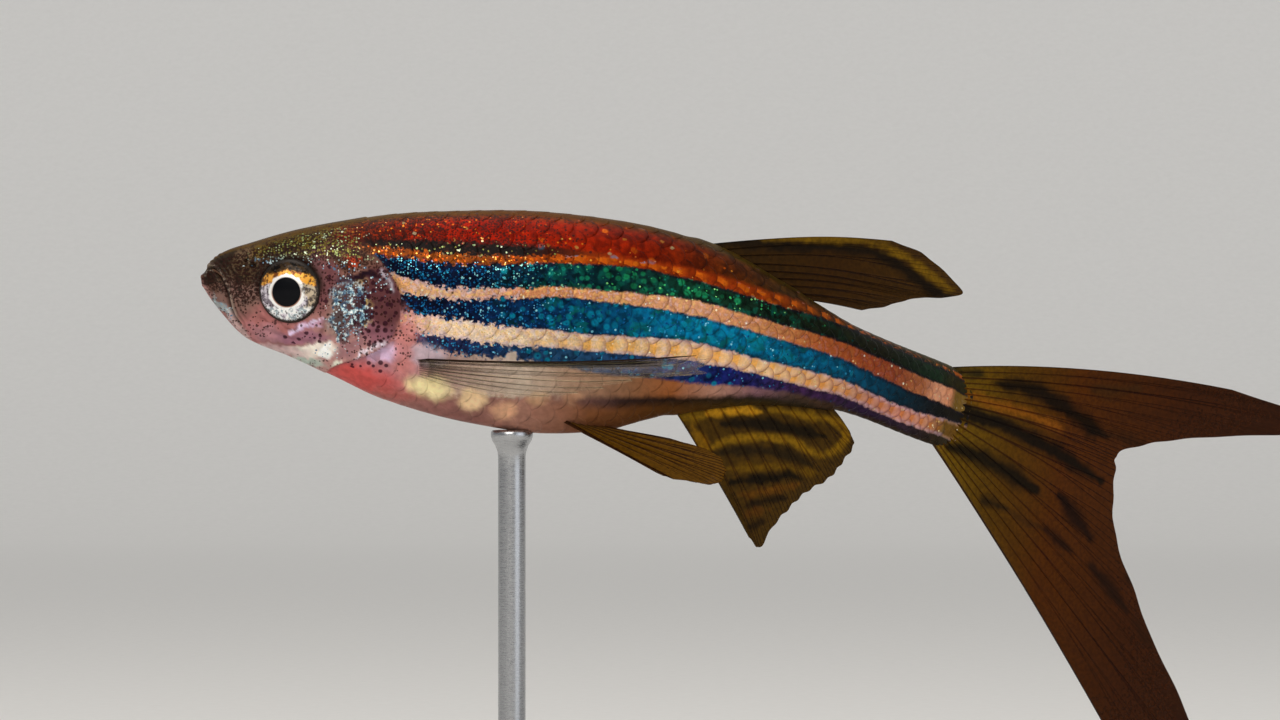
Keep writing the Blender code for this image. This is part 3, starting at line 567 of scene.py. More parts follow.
class Signal:
    """A number, place or colour in a node tree. Working with it adds the nodes that work it out."""

    def __init__(self, paint, socket):
        self.paint = paint
        self.socket = socket

    def __add__(self, other):
        return self.paint.math("ADD", self, other)

    def __sub__(self, other):
        return self.paint.math("SUBTRACT", self, other)

    def __rsub__(self, other):
        return self.paint.math("SUBTRACT", other, self)

    def __mul__(self, other):
        return self.paint.math("MULTIPLY", self, other)

    def __truediv__(self, other):
        return self.paint.math("DIVIDE", self, other)

    def __lt__(self, other):
        return self.paint.math("LESS_THAN", self, other)

    def __gt__(self, other):
        return self.paint.math("GREATER_THAN", self, other)

    def __or__(self, other):
        """The larger of two shares."""
        return self.paint.math("MAXIMUM", self, other)

    def __abs__(self):
        return self.paint.math("ABSOLUTE", self)

    __radd__ = __add__
    __rmul__ = __mul__

    def ease(self, low, high, to_low=0.0, to_high=1.0):
        """Smooth step from to_low at low to to_high at high, which may also lie below low."""
        node = self.paint.node("MapRange")
        node.interpolation_type = "SMOOTHSTEP"
        self.paint.feed_all(node.inputs, self, low, high, to_low, to_high)
        return Signal(self.paint, node.outputs[0])

    def split(self):
        node = self.paint.node("SeparateXYZ")
        self.paint.feed(node.inputs[0], self)
        return [Signal(self.paint, output) for output in node.outputs]

    def scaled(self, factor):
        return self.paint.vector("SCALE", self, scale=factor)

    def mix(self, colour, share, blend="MIX"):
        """This colour with a share of another one laid over it."""
        return self.paint.mix(self, colour, share, blend)

    def toned(self, factor, share):
        return self.mix(self.scaled(factor), share)

    def filtered(self, colour, share):
        return self.mix(self.mix(colour, 1.0, "MULTIPLY"), share)


class Paint:
    """A material's node tree, with short words for the nodes that it needs."""

    def __init__(self, name):
        self.material = bpy.data.materials.new(name)
        self.material.use_nodes = True
        self.tree = self.material.node_tree
        self.shader = self.tree.nodes["Principled BSDF"]
        self.place = self.vector("SCALE", self.node("TexCoord").outputs["Object"], scale=1 / MM)

    def node(self, kind):
        return self.tree.nodes.new("ShaderNode" + kind)

    def feed(self, socket, value):
        if isinstance(value, Signal):
            value = value.socket
        if isinstance(value, bpy.types.NodeSocket):
            self.tree.links.new(value, socket)
        elif socket.type == "RGBA":
            socket.default_value = (*screen(value), 1.0)
        else:
            socket.default_value = value

    def feed_all(self, sockets, *values):
        for socket, value in zip(sockets, values):
            self.feed(socket, value)

    def finish(self, **values):
        """Sets the shader's own sockets, named in words joined by low lines."""
        for word, value in values.items():
            self.feed(self.shader.inputs[word.replace("_", " ")], value)
        return self.material

    def math(self, operation, *values):
        node = self.node("Math")
        node.operation = operation
        self.feed_all(node.inputs, *values)
        return Signal(self, node.outputs[0])

    def vector(self, operation, a, b=(0, 0, 0), scale=1.0):
        node = self.node("VectorMath")
        node.operation = operation
        self.feed(node.inputs[0], a)
        if operation == "SCALE":
            self.feed(node.inputs["Scale"], scale)
        else:
            self.feed(node.inputs[1], b)
        return Signal(self, node.outputs[0])

    def mix(self, a, b, share, blend="MIX"):
        node = self.node("Mix")
        node.data_type = "RGBA"
        node.blend_type = blend
        self.feed_all([node.inputs[k] for k in (0, 6, 7)], share, a, b)
        return Signal(self, node.outputs[2])

    def field(self, name, output="Vector"):
        node = self.node("Attribute")
        node.attribute_name = name
        return Signal(self, node.outputs[output])

    def noise(self, per_mm, detail=2.0, place=None):
        node = self.node("TexNoise")
        self.feed(node.inputs["Vector"], place or self.place)
        node.inputs["Scale"].default_value = per_mm
        node.inputs["Detail"].default_value = detail
        return Signal(self, node.outputs["Fac"])

    def ramp(self, value, knots, reach=1.0):
        """Colour that runs through (place, screen colour) knots, with places up to reach."""
        node = self.node("ValToRGB")
        stops = node.color_ramp.elements
        stops[1].position = 1.0
        for number, (at, colour) in enumerate(knots):
            stop = stops[number] if number < 2 else stops.new(at / reach)
            stop.position = at / reach
            stop.color = (*screen(colour), 1.0)
        self.feed(node.inputs[0], value)
        return Signal(self, node.outputs[0])

    def curve(self, value, knots, reach, low, high):
        """Curve through (place, height) knots, with places up to reach and heights from low to high."""
        node = self.node("FloatCurve")
        points = node.mapping.curves[0].points
        for number, (at, height) in enumerate(knots):
            x, y = at / reach, (height - low) / (high - low)
            if number < 2:
                points[number].location = (x, y)
            else:
                points.new(x, y)
        node.mapping.update()
        self.feed(node.inputs["Value"], value)
        return Signal(self, node.outputs[0]) * (high - low) + low

    def cells(self, flat, per_mm, shift=0.0):
        """Cells scattered over a flat place: distance from each one's middle, and three random numbers."""
        node = self.node("TexVoronoi")
        node.voronoi_dimensions = "2D"
        self.feed(node.inputs["Vector"], self.vector("ADD", flat, (shift, shift, 0.0)))
        node.inputs["Scale"].default_value = per_mm
        distance, colour = (Signal(self, node.outputs[word]) for word in ("Distance", "Color"))
        return (distance / per_mm, *colour.split())

    def dot(self, distance, radius, size, sharp=0.55):
        """Round dot about the middle of each cell, of its own size."""
        own = (size * 0.6 + 0.6) * radius
        return distance.ease(own, own * sharp)

    def bump(self, height, depth, strength=1.0):
        node = self.node("Bump")
        node.inputs["Strength"].default_value = strength
        node.inputs["Distance"].default_value = depth * MM
        self.feed(node.inputs["Height"], height)
        return Signal(self, node.outputs[0])


def skin_material():
    """Stripes, patches, glints and dark grains of the skin and its scales."""
    paint = Paint("danio_skin")
    s, h, angle = paint.field("fish").split()
    reach, off_spot, chance = paint.field("scale").split()
    glitter, grain_share, spot_share = paint.field("marks").split()
    flat, patch = paint.field("flat"), paint.field("patch", "Color")
    bare = 1.0 - paint.field("patch", "Alpha")
    station = s / SKIN_END
    front, rear = s.ease(18.0, 12.0), s.ease(12.0, 16.5)
    fade, soon = s.ease(33.0, 22.0), s.ease(25.0, 20.0)
    grain, drift, clouds, veins = paint.noise(9.0), paint.noise(1.6), paint.noise(3.4, 2.5), paint.noise(2.2)
    fine, pick, size, tone = paint.cells(flat, 6.0)
    tiny, tiny_pick, tiny_size, _ = paint.cells(flat, 9.0, 3.0)
    broad, broad_pick, broad_size, broad_tone = paint.cells(flat, 2.7, 5.0)

    # The bands, from the belly up, each laid over those below it.
    y = h + (0.12 * (grain - 0.5) + 0.15 * (drift - 0.5) + 0.18 * ((tiny_size - 0.5) * front)
             + 0.15 * ((size - 0.5) * front) + 0.05 * ((broad_size - 0.5) * rear))
    over_edge = {edge: y - paint.curve(station, knots, SKIN_END, *EDGE_RANGE)
                 for edge, knots in EDGES.items()}

    def above(edge, softness, shift=0.0):
        return over_edge[edge].ease(shift - softness / 2, shift + softness / 2)

    over = {edge: above(edge, SOFT_EDGES.get(edge, EDGE_SOFTNESS)) for edge in EDGES}
    whole = s.ease(14.5, 16.5, 0.0, 0.3) | s.ease(11.4, 10.6, 0.0, 0.3)
    third = (paint.noise(1.3) + whole).ease(0.30, 0.40) * s.ease(9.1, 9.6)
    front_line = s.ease(18.5, 15.0)
    tint = paint.ramp(station, BANDS["belly"], SKIN_END)
    for band, share in (("dusk", over["dusk_low"]), ("pale", over["dusk_top"]),
                        ("blue3", over["pale_top"] * third), ("cream", over["blue3_top"]),
                        ("blue2", over["cream_top"]), ("salmon", over["blue2_top"]),
                        ("blue1", over["salmon_top"]), ("orange", over["blue1_top"]),
                        ("dark_line", over["orange_top"] * front_line), ("red", over["red_low"]),
                        ("back", angle.ease(0.60, 0.80))):
        tint = tint.mix(paint.ramp(station, BANDS[band], SKIN_END), share)
    tint = tint.mix(MIDBACK_COLOUR, angle.ease(0.90, 0.98, 0.0, 0.8))

    def between(low, high):
        return over[low] * (1.0 - over[high])

    blue1, blue2 = between("salmon_top", "blue1_top"), between("cream_top", "blue2_top")
    blue3 = between("pale_top", "blue3_top") * third
    orange, salmon = between("blue1_top", "orange_top"), between("blue2_top", "salmon_top")
    cream = between("blue3_top", "cream_top")
    red = over["red_low"] * angle.ease(0.82, 0.70)
    line = between("orange_top", "red_low") * front_line
    blues, fiery, pale = blue1 + blue2 + blue3, red + orange, salmon + cream
    warm = fiery + salmon + cream

    # Dark borders of the blues, clouds in the dark bands, flecks and pale fringes in the light ones.
    def bordered(low, high, share, colour, strength):
        inside = above(low, 0.16, 0.10) * (1.0 - above(high, 0.16, -0.10))
        return tint.mix(colour, share * (1.0 - inside) * strength)

    tint = bordered("salmon_top", "blue1_top", blue1, BORDER_COLOUR, 0.7)
    tint = bordered("cream_top", "blue2_top", blue2, BORDER_COLOUR, 0.7)
    cloudy = (0.85 * blues + 0.6 * red + 0.5 * orange) * s.ease(34.0, 26.0, 0.4, 1.0)
    tint = tint.toned(clouds.ease(0.34, 0.66, 0.45, 1.5), cloudy)
    teal = veins.ease(0.50, 0.62) * (rear * s.ease(30.0, 24.0))
    tint = tint.mix(TEAL_VEINS, teal * (0.35 * blue2 + 0.25 * blue1))
    gilt = paint.noise(5.0, 3.0)
    light = pale * s.ease(30.0, 14.0, 0.12, 1.0)
    tint = tint.toned(paint.noise(12.0).ease(0.36, 0.64, 0.82, 1.14), light)
    tint = tint.mix(GILT_FLECKS, light * gilt.ease(0.52, 0.60) * 0.45)
    tint = tint.mix(LILAC_FLECKS, light * gilt.ease(0.46, 0.38) * 0.40)
    tint = bordered("blue2_top", "salmon_top", salmon, FRINGE_COLOUR, s.ease(15.0, 11.0, 0.0, 0.5))
    tint = bordered("blue3_top", "cream_top", cream, FRINGE_COLOUR, 0.5)

    # Each scale's own tone, its darker rim and its lit middle.
    lively = red + 0.8 * orange + 0.9 * blues + 0.25 * salmon
    rim, middle = reach.ease(0.60, 0.96), reach.ease(0.75, -0.3) * s.ease(13.0, 17.0)
    tint = tint.toned((chance - 0.5) * (red * 0.3 + 0.4) + 1.0, lively * 0.8)
    tint = tint.toned(0.62, rim * (lively * 0.55))
    tint = tint.filtered(CREAM_MIDDLE, cream * middle)
    tint = tint.mix(ORANGE_MIDDLE, orange * middle * 0.6)
    tint = tint.filtered(PALE_RIM, rim * s.ease(11.0, 17.0, 0.3, 1.0) * (cream + salmon * 0.3))

    # Broad glints behind the fish's middle.
    green = blue1 * s.ease(11.5, 18.0, 0.12, 1.0)
    broad_share = (0.66 * (blue1 * soon) + 0.80 * (blue2 * fade) + 0.4 * (blue3 * soon) + 0.10 * red
                   + 0.42 * orange + 0.12 * line)
    disk = paint.dot(broad, 0.19, broad_size, 0.35) * (broad_pick < broad_share * rear * bare)
    disk = disk * broad.ease(0.02, 0.10, 0.72, 1.0) * broad_tone.ease(0.0, 1.0, 0.2, 0.85)
    tint = tint.mix(paint.mix(BROAD_COOL, BROAD_GREEN, green).mix(BROAD_WARM, warm), disk)

    # The painted patches, the silvery blotches of the gill cover with their painted glitter, and the dark
    # spots and grains.
    mottled = paint.noise(3.2, 3.0).ease(0.3, 0.7, 0.86, 1.12)
    tint = paint.vector("ADD", tint.scaled(bare), patch).scaled(mottled)
    blotched = (paint.field("blotch", "Fac") + (veins - 0.5)).ease(0.25, 0.85)
    blotch = paint.noise(3.3, 4.0).ease(0.44, 0.56)
    lit = paint.noise(8.5) + (clouds - 0.5) * 0.9
    golden = s.ease(6.95, 7.25) * (broad_pick > 0.55)
    blotch_tint = paint.mix(BLOTCH_GAP, paint.ramp(lit.ease(0.28, 0.70), BLOTCHES), blotch)
    blotch_tint = blotch_tint.mix(BLOTCH_GOLD, golden * blotch * 0.8)
    tint = tint.mix(blotch_tint, blotched * blotch.ease(0.0, 1.0, 0.72, 0.95))
    spot, spot_pick, spot_size, _ = paint.cells(flat, 3.3, 9.0)
    tint = tint.mix(SPOT_COLOUR, paint.dot(spot, 0.125, spot_size) * (spot_pick < spot_share) * 0.88)
    peppered = s.ease(15.0, 8.0, 0.12, 0.75) * bare * (0.9 * red + 0.45 * orange + 0.6 * line)
    peppered = grain_share.ease(0.45, 0.90, 0.0, 0.85) | peppered
    tint = tint.mix(PEPPER_COLOUR, paint.noise(8.0, 3.0).ease(0.47, 0.55) * peppered)
    dark_share = (0.55 * red + 0.24 * orange + 0.20 * line + 0.01 * salmon) * front * bare + grain_share
    dark = (paint.dot(fine, 0.075, size) * (pick > 1.0 - dark_share)
            | paint.dot(tiny, 0.055, tiny_size) * (tiny_pick > 1.0 - dark_share))
    tint = tint.mix(SPECK_COLOUR, dark * 0.82)

    # Small glints, and the soft spots of light on some of the red scales.
    share = (0.60 * (blue1 * fade) + 0.60 * (blue2 * fade) + 0.5 * (blue3 * fade) + 0.05 * red + 0.26 * orange
             + 0.14 * line + 0.12 * salmon + 0.20 * cream) * bare * (front * 0.8 + 0.2)
    glint = (paint.dot(fine, 0.058, size) * (pick < share + glitter * 0.5)
             | paint.dot(tiny, 0.045, tiny_size) * (tiny_pick < share * 0.7 + glitter))
    glint_tint = paint.ramp(tone, COOL_GLINTS)
    for knots, part in ((GREEN_GLINTS, green), (WARM_GLINTS, fiery), (CREAM_GLINTS, pale),
                        (CROWN_GLINTS, line)):
        glint_tint = glint_tint.mix(paint.ramp(tone, knots), part)
    head_glint = paint.ramp(tone, PALE_GLINTS).mix(paint.ramp(tone, CROWN_GLINTS), h.ease(0.55, 1.15))
    tint = tint.mix(head_glint.mix(glint_tint, bare), glint * 0.95)
    lens = off_spot.ease(0.12, 0.07) * off_spot.ease(0.02, 0.07, 0.30, 0.75)
    lens = lens * (paint.math("FRACT", chance * 7.3) > 0.45) * ((red + 0.7 * line) * s.ease(24.0, 21.0))
    tint = tint.mix(paint.ramp(paint.math("FRACT", chance * 3.1), LENS_SPOTS), lens)

    shine = glint | (disk | lens) * 0.8 | blotch * blotched * 0.7
    relief = paint.bump(0.6 * grain + 0.4 * paint.noise(22.0), 0.012, 0.8)
    return paint.finish(Base_Color=tint, Metallic=(0.5 * blues + 0.25 * warm) * bare + shine * 0.3,
                        Roughness=shine.ease(0.0, 1.0, 0.42, 0.26), Coat_Weight=0.02, Coat_Roughness=0.12,
                        Specular_IOR_Level=0.04, Subsurface_Weight=0.1, Subsurface_Radius=(1.0, 0.45, 0.3),
                        Subsurface_Scale=0.0003, Normal=relief)


def head_relief(points, s, h):
    """Lips, folds, nostrils, eye rims and the plates of the gill cover, in millimetres out."""
    gape, side = path_distance(s, h, GAPE)
    near = ease((3.2 - s) / 0.6) * (0.35 + 0.65 * ease((s - 0.02) / 0.25))
    relief = -GAPE_DEPTH * bump(gape, 0.05) * near + LIP_HEIGHT * bump(gape - 0.15, 0.085) * near
    below = (side < 0) * near * ease((2.4 - s) / 0.5)
    for offset, height in LIP_FOLDS:
        relief = relief + height * bump(gape - offset - 0.08, 0.05) * below
    plate = path_distance(s, h, PREOPERCLE)[0]
    relief = relief - 0.05 * bump(plate, 0.09) + 0.03 * bump(plate - 0.2, 0.14)
    relief = relief - 0.035 * bump(path_distance(s, h, SUBOPERCLE)[0], 0.07)
    for line in THROAT_LINES:
        relief = relief - 0.03 * bump(path_distance(s, h, line)[0], 0.06)
    r = from_axis(points, *EYE_PLACE)
    relief = relief - 0.10 * ease((EYE_RIM + 0.20 - r) / 0.20) - 1.0 * ease((EYE_RIM + 0.03 - r) / 0.09)
    relief = relief + 0.05 * bump(r - EYE_RIM - 0.26, 0.11)
    for middle, radius in NOSTRIL_PITS:
        r = from_axis(points, *middle)
        relief = relief - 0.20 * ease((radius * 1.1 - r) / (radius * 0.8))
        relief = relief + 0.03 * bump(r - radius * 1.3, 0.05)
    return relief + 0.09 * bump(from_axis(points, *NOSTRIL_FLAP), 0.085)


def body_relief(s, angle, w):
    """The step at the gill cover's edge, the hollow behind it, and the sheaths that fins stand in."""
    past = s - gill_edge_at(angle)
    proud = GILL_LIFT * np.cos(np.radians(angle)) ** 2 * (1 - 0.85 * ease((angle - 8) / 22))
    step = np.where(past < 0, proud * ease(1 + past / 0.9), -proud * (1 - ease(past / 1.1)))
    dorsal = 0.10 * ease((s - 20.6) / 0.8) * ease((27.0 - s) / 0.8) * bump(w, 0.45) * (angle > 0)
    anal = 0.12 * ease((s - 21.0) / 0.8) * ease((30.0 - s) / 0.8) * bump(w, 0.45) * (angle < 0)
    return step + dorsal + anal


def with_patches(paint, s, h, patches):
    for middle, half, tilt, colour, strength, softness in patches:
        paint = cover(paint, colour, strength * patch_share(s, h, middle, half, tilt, softness))
    return paint


def body_patches(s, h):
    """Soft patches of the throat and belly, as colour times cover and cover."""
    return with_patches(np.zeros(np.shape(s) + (4,)), *warped(s, h), BODY_PATCHES)


def head_patches(points, s, h, angle):
    """Colours of the whole head, as colour times cover and cover."""
    base = colour_along(-h / belly_at(np.maximum(s, 0)), HEAD_BASE)
    moved = warped(s, h)
    head = np.concatenate([base, np.ones(np.shape(s) + (1,))], axis=-1)
    head = with_patches(head, *moved, HEAD_PATCHES)
    head = cover(head, CROWN_EDGE, 0.9 * ease((angle - 52) / 16))
    head = cover(head, CROWN_TOP, 0.8 * ease((angle - 72) / 12))
    for path, width, colour, strength in HEAD_STREAKS:
        head = cover(head, colour, strength * bump(path_distance(*moved, path)[0], width))
    gape, side = path_distance(s, h, GAPE)
    head = cover(head, UPPER_LIP, 0.7 * bump(gape - 0.14, 0.06) * (side < 0) * ease((1.9 - s) / 0.4))
    for offset, _ in LIP_FOLDS:
        head = cover(head, GAPE_SHADE, 0.5 * bump(gape - offset, 0.045) * (side < 0) * ease((2.2 - s) / 0.4))
    head = cover(head, GAPE_SHADE, 0.95 * bump(gape, 0.055) * ease((2.2 - s) / 0.3))
    r, over = from_axis(points, *EYE_PLACE), ease((h - EYE_PLACE[1] + 0.35) / 0.9)
    head = cover(head, EYE_SHADE, (0.12 + 0.83 * over) * bump(r - EYE_RIM - 0.07, 0.09 + 0.15 * over))
    head = cover(head, EYE_SHADE, 0.85 * ease((EYE_RIM + 0.02 - r) / 0.06))
    for middle, radius in NOSTRIL_PITS:
        head = cover(head, GAPE_SHADE, 0.85 * ease((radius - from_axis(points, *middle)) / 0.08))
    return cover(head, FLAP_COLOUR, 0.7 * bump(from_axis(points, *NOSTRIL_FLAP), 0.075))


def head_marks(s, h):
    """Shares of glittering cells, of small dark grains and of large spots."""
    below_edge = ease((back_at(np.maximum(s, 0)) - h - 0.22) / 0.22)
    s, h = warped(s, h)
    marks = [np.zeros(np.shape(s)), 0.16 + 0.40 * ease((h + 1.3) / 1.8), np.zeros(np.shape(s))]
    for kind, middle, half, tilt, softness, amount in HEAD_MARKS:
        share = patch_share(s, h, middle, half, tilt, softness)
        marks[kind] = marks[kind] * (1 - share) + amount * share
    marks[0] = marks[0] * below_edge
    marks[1] = marks[1] * (0.35 + 0.65 * below_edge)
    return np.stack(marks, axis=-1)


def head_blotches(s, h):
    s, h = warped(s, h)
    share = np.zeros(np.shape(s))
    for middle, half, tilt, softness in BLOTCH_PATCHES:
        share = np.maximum(share, patch_share(s, h, middle, half, tilt, softness))
    return share


def body_marks(s, h):
    s, h = warped(s, h)
    spots = 0.80 * patch_share(s, h, (7.7, -3.5), (1.2, 0.42), 5, 0.6)
    specks = 0.20 * patch_share(s, h, (9.0, -2.2), (0.55, 1.3), 0, 0.8)
    return np.stack([0 * s, specks, spots], axis=-1)


def make_skin(material):
    """One skin from the snout to the tail-fin root, with the head's relief worked into it."""
    nose = np.radians(np.linspace(12, 82, NOSE_ROWS))
    rows = np.concatenate([-NOSE_LENGTH * np.cos(nose), np.arange(0, HEAD_END, HEAD_ROW),
                           np.arange(HEAD_END, SKIN_END, BODY_ROW), [SKIN_END]])
    shrink = np.concatenate([np.sin(nose), np.ones(len(rows) - NOSE_ROWS)])
    turn = -math.pi / 2 + 2 * math.pi * np.arange(SKIN_SIDES) / SKIN_SIDES
    s, turn = np.meshgrid(rows, turn, indexing="ij")
    h, w = section(np.maximum(s, 0), turn)
    h, w = h * shrink[:, None], w * shrink[:, None]
    angle = flank_angle(turn)
    points = place(s, h, w)
    round_it = np.roll(points, -1, axis=1) - np.roll(points, 1, axis=1)
    out = unit(np.cross(round_it, np.gradient(points, axis=0)))
    past = s - gill_edge_at(angle)
    on_head = 1 - ease((past + 0.02) / 0.06)
    relief = head_relief(points, s, h) * on_head + body_relief(s, angle, w)
    inset = HEAD_INSET + (BODY_INSET - HEAD_INSET) * (1 - on_head)
    made = points + out * (relief - inset)[:, :, None]

    blend = 0.06 + 1.3 * ease((angle - 12) / 20)
    tinted = (1 - ease((past + blend) / blend))[..., None]
    patch = body_patches(s, h) * (1 - tinted) + head_patches(points, s, h, angle) * tinted
    # Painted shade in the hollow just behind the gill cover's edge, where the cover overhangs the body.
    gap_shade = 0.40 * bump(past - 0.03, 0.05) * np.cos(np.radians(angle)) ** 2
    patch = cover(patch, GILL_GAP_SHADE, gap_shade * (1 - ease((angle - 5) / 20)))
    half = SKIN_SIDES // 2 + 1
    way = way_round(h[:, :half], w[:, :half])
    way = way - way[:, half // 2:half // 2 + 1]
    way = np.concatenate([way, way[:, -2:0:-1]], axis=1)
    fields = {"fish": np.stack([s, h, angle / 90], axis=-1), "patch": patch,
              "marks": body_marks(s, h) * (1 - tinted) + head_marks(s, h) * tinted,
              "scale": np.broadcast_to(NO_SCALE, s.shape + (3,)), "flat": np.stack([s, way, 0 * s], axis=-1),
              "blotch": (head_blotches(s, h) * on_head)[..., None]}
    skin = mesh_object("danio_skin", made, tube_faces(len(rows), SKIN_SIDES), material, fields)
    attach(skin, "root")
    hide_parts("head", "lower_jaw", "trunk", "tail_stalk")


# The table of ways round the section: its step along the fish, and its samples from belly to back.
ARC_STEP = 0.25
ARC_SAMPLES = 241


def way_round(h, w):
    """Length of the way along each row of (h, w) points."""
    steps = np.hypot(np.diff(h, axis=1), np.diff(w, axis=1))
    return np.concatenate([np.zeros((len(h), 1)), np.cumsum(steps, axis=1)], axis=1)


def arc_table():
    """Stations, the turn at even shares of the way there, and the way below and above the flank's middle."""
    stations = np.arange(0, SKIN_END + ARC_STEP, ARC_STEP)
    turns = np.radians(np.linspace(-90, 90, ARC_SAMPLES))
    way = way_round(*section(stations[:, None], turns[None, :]))
    shares = np.linspace(0, 1, ARC_SAMPLES)
    even = np.array([np.interp(shares * one[-1], one, turns) for one in way])
    middle = way[:, ARC_SAMPLES // 2]
    return stations, even, middle, way[:, -1] - middle


ARC_STATIONS, ARC_TURNS, ARC_BELOW, ARC_ABOVE = arc_table()


def turn_of(s, arc):
    """Angle round the section of points at a distance from the flank's middle, measured on the skin."""
    below, above = np.interp(s, ARC_STATIONS, ARC_BELOW), np.interp(s, ARC_STATIONS, ARC_ABOVE)
    share = np.clip((arc + below) / (below + above), 0.002, 0.998)
    i = np.clip(s / ARC_STEP, 0, len(ARC_STATIONS) - 1.001)
    j = share * (ARC_SAMPLES - 1)
    i0, j0 = i.astype(int), j.astype(int)
    return among_corners(lambda a, b: ARC_TURNS[i0 + a, j0 + b], i - i0, j - j0)


def scale_middles():
    """Middles of one flank's scales: place along the fish, distance from the flank's middle."""
    middles = []
    s, column = SCALE_START, 0
    while s < SCALES_END:
        row_gap = scale_row_at(s)
        lowest = -int(np.interp(s, ARC_STATIONS, ARC_BELOW) / row_gap)
        highest = int(np.interp(s, ARC_STATIONS, ARC_ABOVE) / row_gap)
        for row in range(lowest, highest + 1):
            angle = flank_angle(turn_of(np.array(s), np.array(row * row_gap)))
            if (row + column) % 2 == 0 and s > gill_edge_at(angle) + 0.15:
                middles.append((s, row * row_gap))
        s += scale_step_at(s) / 2
        column += 1
    return np.array(middles)


def make_scales(material):
    """Thin plates that overlap like roof tiles, each raised at its rear edge."""
    middles = scale_middles()
    rng = np.random.default_rng(7)
    turns = 2 * math.pi * np.arange(SCALE_SEGMENTS) / SCALE_SEGMENTS
    ring = np.array([(r * math.cos(t), r * math.sin(t)) for r in SCALE_RINGS for t in turns])
    edge = np.array([(math.cos(t), math.sin(t)) for t in turns])
    local = np.vstack([[(0, 0)], ring, edge, [(0, 0)]])
    drop = np.concatenate([np.zeros(1 + len(ring)), np.full(len(edge) + 1, SCALE_THICKNESS)])
    tip_round = np.where(np.hypot(*local.T) > 0.99, SCALE_TIP_ROUND, 0.0)

    loops = len(SCALE_RINGS) + 1
    last, centre = 1 + (loops - 1) * SCALE_SEGMENTS, len(local) - 1
    faces = [(0, 1 + k, 1 + (k + 1) % SCALE_SEGMENTS) for k in range(SCALE_SEGMENTS)]
    faces += [(1 + a, 1 + d, 1 + c, 1 + b) for a, b, c, d in grid_faces(loops, SCALE_SEGMENTS, True)]
    faces += [(centre, last + (k + 1) % SCALE_SEGMENTS, last + k) for k in range(SCALE_SEGMENTS)]

    reach_s = SCALE_LENGTH * scale_step_at(middles[:, 0])[:, None]
    reach_arc = SCALE_WIDTH * scale_row_at(middles[:, 0])[:, None]
    s = np.minimum(middles[:, :1] + reach_s * local[:, 0], SKIN_END - 0.5)
    arc = middles[:, 1:] + reach_arc * local[:, 1]
    turn = turn_of(s, arc)
    h, w = section(s, turn)
    angle = flank_angle(turn)
    rise = SCALE_RISE * (local[:, 0] + 1) / 2 - drop - tip_round - BODY_INSET - 0.02
    lift = body_relief(s, angle, w) + rise
    chance = np.broadcast_to(rng.random((len(middles), 1)), s.shape)
    reach = np.broadcast_to(np.hypot(*local.T) * np.sign(local[:, 0] + 0.25), s.shape)
    aside = rng.random((2, len(middles), 1)) - 0.5
    off_spot = np.hypot(reach_s * (local[:, 0] - 0.30 - 0.7 * aside[0]), reach_arc * (local[:, 1] - aside[1]))
    fields = {"fish": np.stack([s, h, angle / 90], axis=-1), "patch": body_patches(s, h),
              "marks": body_marks(s, h), "scale": np.stack([reach, off_spot, chance], axis=-1),
              "flat": np.stack([s, arc, 0 * s], axis=-1), "blotch": np.zeros(s.shape + (1,))}
    flat = np.stack([(s + middles[:, :1]) / 2, (arc + middles[:, 1:]) / 2], axis=-1).reshape(-1, 2)
    flat = (flat + (0, 10)) / (SKIN_END, 20)
    starts = len(local) * np.arange(len(middles))
    for word, side in (("left", -1), ("right", 1)):
        points, out = surface(s, turn if side > 0 else math.pi - turn)
        points = points + out * lift[:, :, None]
        all_faces = [[int(start) + i for i in face[::side]] for start in starts for face in faces]
        made = mesh_object("scales_" + word, points, all_faces, material, fields)
        uv = made.data.uv_layers.new(name="OFBake")
        corners = np.array([loop.vertex_index for loop in made.data.loops])
        uv.data.foreach_set("uv", flat[corners].ravel())
        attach(made, "root")


def eye_material():
    """A silver iris with gold above and behind, a black pupil and a dark peppered rim, under a wet coat."""
    paint = Paint("eye")
    spot = paint.field("eye")
    x, y, r = spot.split()
    across, upward = x - PUPIL_PLACE[0], y - PUPIL_PLACE[1]
    from_pupil = paint.math("SQRT", across * across + upward * upward)
    near, pick, size, _ = paint.cells(spot, 8.5)
    grain, mottle = paint.noise(14.0, 3.0), paint.noise(3.4, 3.0)
    blot = paint.noise(5.0, 4.0).ease(0.42, 0.58)
    wobble = mottle - 0.5
    wavy = from_pupil + wobble * 0.3
    arched = y + 0.28 * abs(x) + 0.35 * wobble
    outer = wavy.ease(0.78, 0.86)
    shares = {"rim": outer, "behind": (x + wobble * 1.2).ease(0.62, 0.86) * 0.9,
              "below": y.ease(-0.60, -0.80) * mottle.ease(0.36, 0.44) * 0.95,
              "arc": arched.ease(0.50, 0.64) * wavy.ease(0.76, 0.83) * 0.95, "lid": arched.ease(0.92, 1.02)}
    iris = IRIS_RING
    for word, share in shares.items():
        iris = paint.mix(iris, paint.mix(*IRIS_TONES[word], blot), share)
    iris = iris.mix(IRIS_SPECK, paint.dot(near, 0.055, size) * (pick < 0.42) * (outer * 0.75))
    iris = iris.mix(IRIS_EDGE, (r + (grain - 0.5) * 0.25).ease(1.20, 1.31))
    iris = iris.mix(PUPIL_RIM, from_pupil.ease(0.70, 0.66) * y.ease(0.3, -0.3, 0.25, 0.85))
    tint = iris.mix(PUPIL_COLOUR, from_pupil.ease(PUPIL_RADIUS + 0.02, PUPIL_RADIUS - 0.02))
    metal = from_pupil.ease(PUPIL_RADIUS, PUPIL_RADIUS + 0.05, 0.0, 0.35)
    return paint.finish(Base_Color=tint, Metallic=metal, Roughness=0.34, Specular_IOR_Level=0.08,
                        Coat_Weight=0.08, Coat_Roughness=0.02, Normal=paint.bump(grain, 0.01, 0.5))


